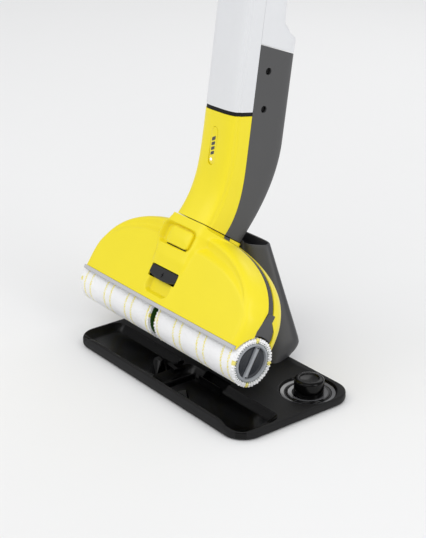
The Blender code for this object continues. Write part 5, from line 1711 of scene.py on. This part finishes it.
        Form.combine(tank, [Form.turned("filler_hole", ((0, -8), (10, -8), (10, 12), (0, 12)),
                                        at_filler, 48)])
        show(tank, Finish.TANK, "water_tank", "fresh_water_tank", angle=38.0)
        cap = Form.turned("filler_cap_body", (
            (0, 2.0), (8.6, 2.0), (8.6, 5.5), (14.0, 5.5), (14.9, 6.3), (15.0, 7.0), (15.0, 10.6),
            (14.5, 11.5), (13.4, 12.0), (9.5, 12.0), (8.8, 11.4), (0, 11.4)), at_filler, 72)
        bar = Form.block("filler_bar", at_filler, (-8.9, -1.5, 11.0), (8.9, 1.5, 12.0))
        Form.combine(cap, [bar], "UNION")
        show(cap, Finish.DARK_GREY, "filler_cap", "tank_cap", angle=40.0)
        for k, s in enumerate(spread(self.tank_start + 40, self.tank_end - 40, 5)):
            inside, outside = self.half - 0.2, self.half
            section = ((inside, -20.0), (outside, -20.0), (outside, -30.0), (inside, -30.0))
            line = Form.skin(f"tank_mark_{k + 1}", [[STICK.at(x, d, s + h) for x, d in section]
                                                    for h in (-0.35, 0.35)])
            show(line, Finish.LIGHT_GREY, "water_tank")

    def make_handle(self) -> None:
        """Upper housing, tube, grip with ribs, and the power button."""
        rings = []
        for s in spread(self.shell_end + 0.3, self.tube_start + 14, 26):
            t = ease(s, self.shell_end + 12, self.tube_start + 14)
            front = self.front_line(s, 0.0)
            back = self.back_line(s, 0.0, 50.0)
            line = list(reversed(back)) + front
            full = line + [(-x, d) for x, d in reversed(line[1:-1])]
            ring = []
            for x, d in full:
                angle = math.atan2(d + 10.0, x)
                rx, rd = 17.5 * math.cos(angle), -6.0 + 17.5 * math.sin(angle)
                ring.append(STICK.at(x + (rx - x) * t, d + (rd - d) * t, s))
            rings.append(ring)
        upper = Form.skin("upper_body", rings)

        def at_tube(a: float, b: float, s: float) -> Vector:
            """A point round the tube's axis."""
            return STICK.at(a, -6 + b, s)

        bore = Form.turned("tube_bore", ((0, self.tube_start - 22), (13.3, self.tube_start - 22),
                                         (13.3, self.tube_start + 40), (0, self.tube_start + 40)),
                           at_tube, 64)
        Form.combine(upper, [bore])
        show(upper, Finish.DARK_GREY, self.body, "upper_housing", angle=40.0)
        tube = Form.turned("handle_pipe", ((11.4, self.tube_start - 21.5),
                                           (13.0, self.tube_start - 21.5), (13.0, self.tube_end),
                                           (11.4, self.tube_end)), at_tube, 80)
        show(tube, Finish.STEEL, self.body, "handle_tube", angle=40.0)
        stations = [0.0, 0.004, *spread(0.02, 0.95, 50), 0.965, 0.978, 0.988, 0.995, 1.0]
        rings = []
        for t in stations:
            shrink = 1.0 if t < 0.95 else math.sqrt(max(1 - ((t - 0.95) / 0.0512) ** 2, 0.04))
            shrink *= 0.97 if t == 0.0 else 1.0
            rings.append(self.grip_ring(t, shrink))
        grip = Form.skin("grip_body", rings)
        middle, out = self.power_axis()
        across = Vector((1, 0, 0))
        up = out.cross(across)

        def at_power(a: float, b: float, h: float) -> Vector:
            """A point round the power button's axis."""
            return middle + (across * a + up * b + out * h) * MM

        Form.combine(grip, [Form.turned("power_hole", ((0, 9), (7.4, 9), (7.4, 30), (0, 30)),
                                        at_power, 64)])
        show(grip, Finish.GRIP_RUBBER, self.body, "handle_grip", angle=40.0)
        button = Form.turned("power_pad", ((0, 13.4), (7.0, 13.4), (7.0, 20.2), (6.8, 21.0),
                                           (6.1, 21.5), (4.0, 21.5), (2.0, 21.1), (0, 21.0)),
                             at_power, 56)
        show(button, Finish.YELLOW, "switch", "power_button", angle=50.0)
        self.make_ribs()

    def grip_ring(self, t: float, scale: float = 1.0, count: int = 56) -> Ring:
        """Section of the grip at t from 0 to 1, bending back towards the user."""
        steps = 24
        start = STICK.at(0, -6, self.tube_end + 0.3)
        y, z = start.y / MM, start.z / MM
        for step in range(steps):
            along = (step + 0.5) / steps * t
            lean = math.radians(STICK.lean + 38.0 * along ** 1.5)
            y += math.sin(lean) * self.grip_length * t / steps
            z += math.cos(lean) * self.grip_length * t / steps
        lean = math.radians(STICK.lean + 38.0 * t ** 1.5)
        swell = 1.0 + 0.12 * math.sin(math.pi * min(t * 1.4, 1.0))
        ring = []
        for k in range(count):
            angle = 2 * math.pi * k / count
            d = 18.0 * swell * scale * math.sin(angle)
            ring.append(world(15.0 * swell * scale * math.cos(angle), y - d * math.cos(lean),
                              z + d * math.sin(lean)))
        return ring

    def power_axis(self) -> tuple[Vector, Vector]:
        """Middle and outward direction of the power button on the grip's front."""
        ring = self.grip_ring(0.16, 1.0, 4)
        return (ring[1] + ring[3]) / 2, (ring[1] - ring[3]).normalized()

    def make_ribs(self) -> None:
        """Soft ribs round the back of the grip."""
        mesh = bmesh.new()
        for t in spread(0.34, 0.80, 12):
            ring = self.grip_ring(t, 0.985)
            arc = [mesh.verts.new(p) for p in ring[30:55]]
            for a, b in zip(arc, arc[1:]):
                mesh.edges.new((a, b))
        ribs = Form.add("grip_ribs", mesh, outward=False)
        rib_tree().apply(ribs, {"Thickness": 0.7 * MM, "Material": Finish.RUBBER.material()})
        show(ribs, Finish.RUBBER, self.body, angle=60.0)

    def build(self) -> None:
        """Make the whole stick."""
        self.make_neck()
        self.make_housing()
        self.make_upper()
        self.make_tank()
        self.make_handle()


# --- what the covers hide -------------------------------------------------------------------------
@dataclass
class InnerParts:
    """CAD nodes that keep their shape: each gets its slot's finish."""

    edge: float = 32.0
    glossy: tuple[str, ...] = ("drive_leg_left", "drive_leg_right")

    def build(self) -> None:
        """Dress every CAD node that is still shown."""
        slots = {row["node"]: row["material_slot"] for row in frame["record"]["subparts"]}
        for name, node in frame["nodes"].items():
            if node.hide_render:
                continue
            finish = Finish.BLACK_GLOSS if name in self.glossy else SLOT_FINISH[slots[name]]
            node.data.materials.clear()
            node.data.materials.append(finish.material())
            LOG.info("%-28s keeps its shape, %s", name, finish.value.name)


# --- studio ---------------------------------------------------------------------------------------
@dataclass
class Studio:
    """Pale floor, soft light and the camera."""

    azimuth: float = math.radians(52.0197)
    elevation: float = math.radians(22.5514)
    place: tuple[float, float, float] = (1.1188, -0.8096, 0.6883)
    focal: float = 1284.569
    frame_height: int = 538
    sensor: float = 36.0
    floor_size: float = 9.0
    floor_shade: float = 0.80
    sky: float = 0.765
    sky_gloss: float = 0.35
    sun: float = 0.60

    def make_camera(self) -> None:
        """Camera at its measured place."""
        data = bpy.data.cameras.new("camera")
        data.lens = self.focal * self.sensor / self.frame_height
        data.sensor_width = self.sensor
        data.clip_start, data.clip_end = 0.05, 50.0
        camera = bpy.data.objects.new("camera", data)
        bpy.context.scene.collection.objects.link(camera)
        sin, cos = math.sin(self.azimuth), math.cos(self.azimuth)
        back = Vector((sin * math.cos(self.elevation), -cos * math.cos(self.elevation),
                       math.sin(self.elevation)))
        camera.location = self.place
        camera.rotation_euler = back.to_track_quat("Z", "Y").to_euler()
        bpy.context.scene.camera = camera

    def make_floor(self) -> None:
        """Wide pale floor."""
        mesh = bmesh.new()
        bmesh.ops.create_grid(mesh, x_segments=8, y_segments=8, size=self.floor_size / 2)
        floor = Form.add("floor", mesh, outward=False)
        tree = ShaderTree("floor_paper")
        speck = tree.noise(60.0, 2.0)
        shade = self.floor_shade
        tree.set(Base_Color=tree.feed_mix(speck, (shade * 0.995,) * 3, (shade,) * 3),
                 Roughness=0.85 + 0.05 * speck, Specular_IOR_Level=0.1)
        floor.data.materials.append(tree.material)

    def add_area(self, name: str, place: Sequence[float], aim: Sequence[float], size: Pair,
                 power: float) -> None:
        """A soft box light aimed at a point."""
        data = bpy.data.lights.new(name, "AREA")
        data.shape, data.size, data.size_y, data.energy = "RECTANGLE", size[0], size[1], power
        light = bpy.data.objects.new(name, data)
        bpy.context.scene.collection.objects.link(light)
        light.location = place
        light.rotation_euler = (Vector(place) - Vector(aim)).to_track_quat("Z", "Y").to_euler()

    def make_light(self) -> None:
        """Even sky, darker in reflections, a broad sun and three soft boxes."""
        sky = bpy.data.worlds.new("studio_sky")
        sky.use_nodes = True
        tree = sky.node_tree
        background = tree.nodes["Background"]
        path = tree.nodes.new("ShaderNodeLightPath")
        mix = tree.nodes.new("ShaderNodeMix")
        mix.inputs[2].default_value, mix.inputs[3].default_value = self.sky, self.sky_gloss
        tree.links.new(path.outputs["Is Glossy Ray"], mix.inputs[0])
        tree.links.new(mix.outputs[0], background.inputs["Strength"])
        background.inputs["Color"].default_value = (0.985, 0.99, 1.0, 1.0)
        bpy.context.scene.world = sky
        data = bpy.data.lights.new("broad_sun", "SUN")
        data.energy, data.angle = self.sun, math.radians(50)
        sun = bpy.data.objects.new("broad_sun", data)
        bpy.context.scene.collection.objects.link(sun)
        sun.rotation_euler = Vector((0.35, -0.55, 1.0)).to_track_quat("Z", "Y").to_euler()
        self.add_area("front_box", (-0.9, -1.6, 1.7), (0, 0, 0.2), (1.6, 1.2), 9.0)
        self.add_area("right_box", (1.9, 0.5, 1.3), (0, 0, 0.2), (0.8, 1.6), 11.0)
        self.add_area("back_box", (-0.8, 1.9, 1.5), (0, 0, 0.25), (1.6, 0.9), 5.0)

    def build(self) -> None:
        """Make the studio."""
        bpy.context.scene.view_settings.view_transform = "Standard"
        self.make_camera()
        self.make_floor()
        self.make_light()


def main() -> None:
    """Build every sub-assembly in order."""
    logging.basicConfig(level=logging.INFO, format="%(message)s")
    for assembly in (Studio(), ParkingStation(), HeadCovers(), Rollers(), Stick(), InnerParts()):
        assembly.build()
        LOG.info("%s is done", type(assembly).__name__)


if __name__ == "__main__":
    main()
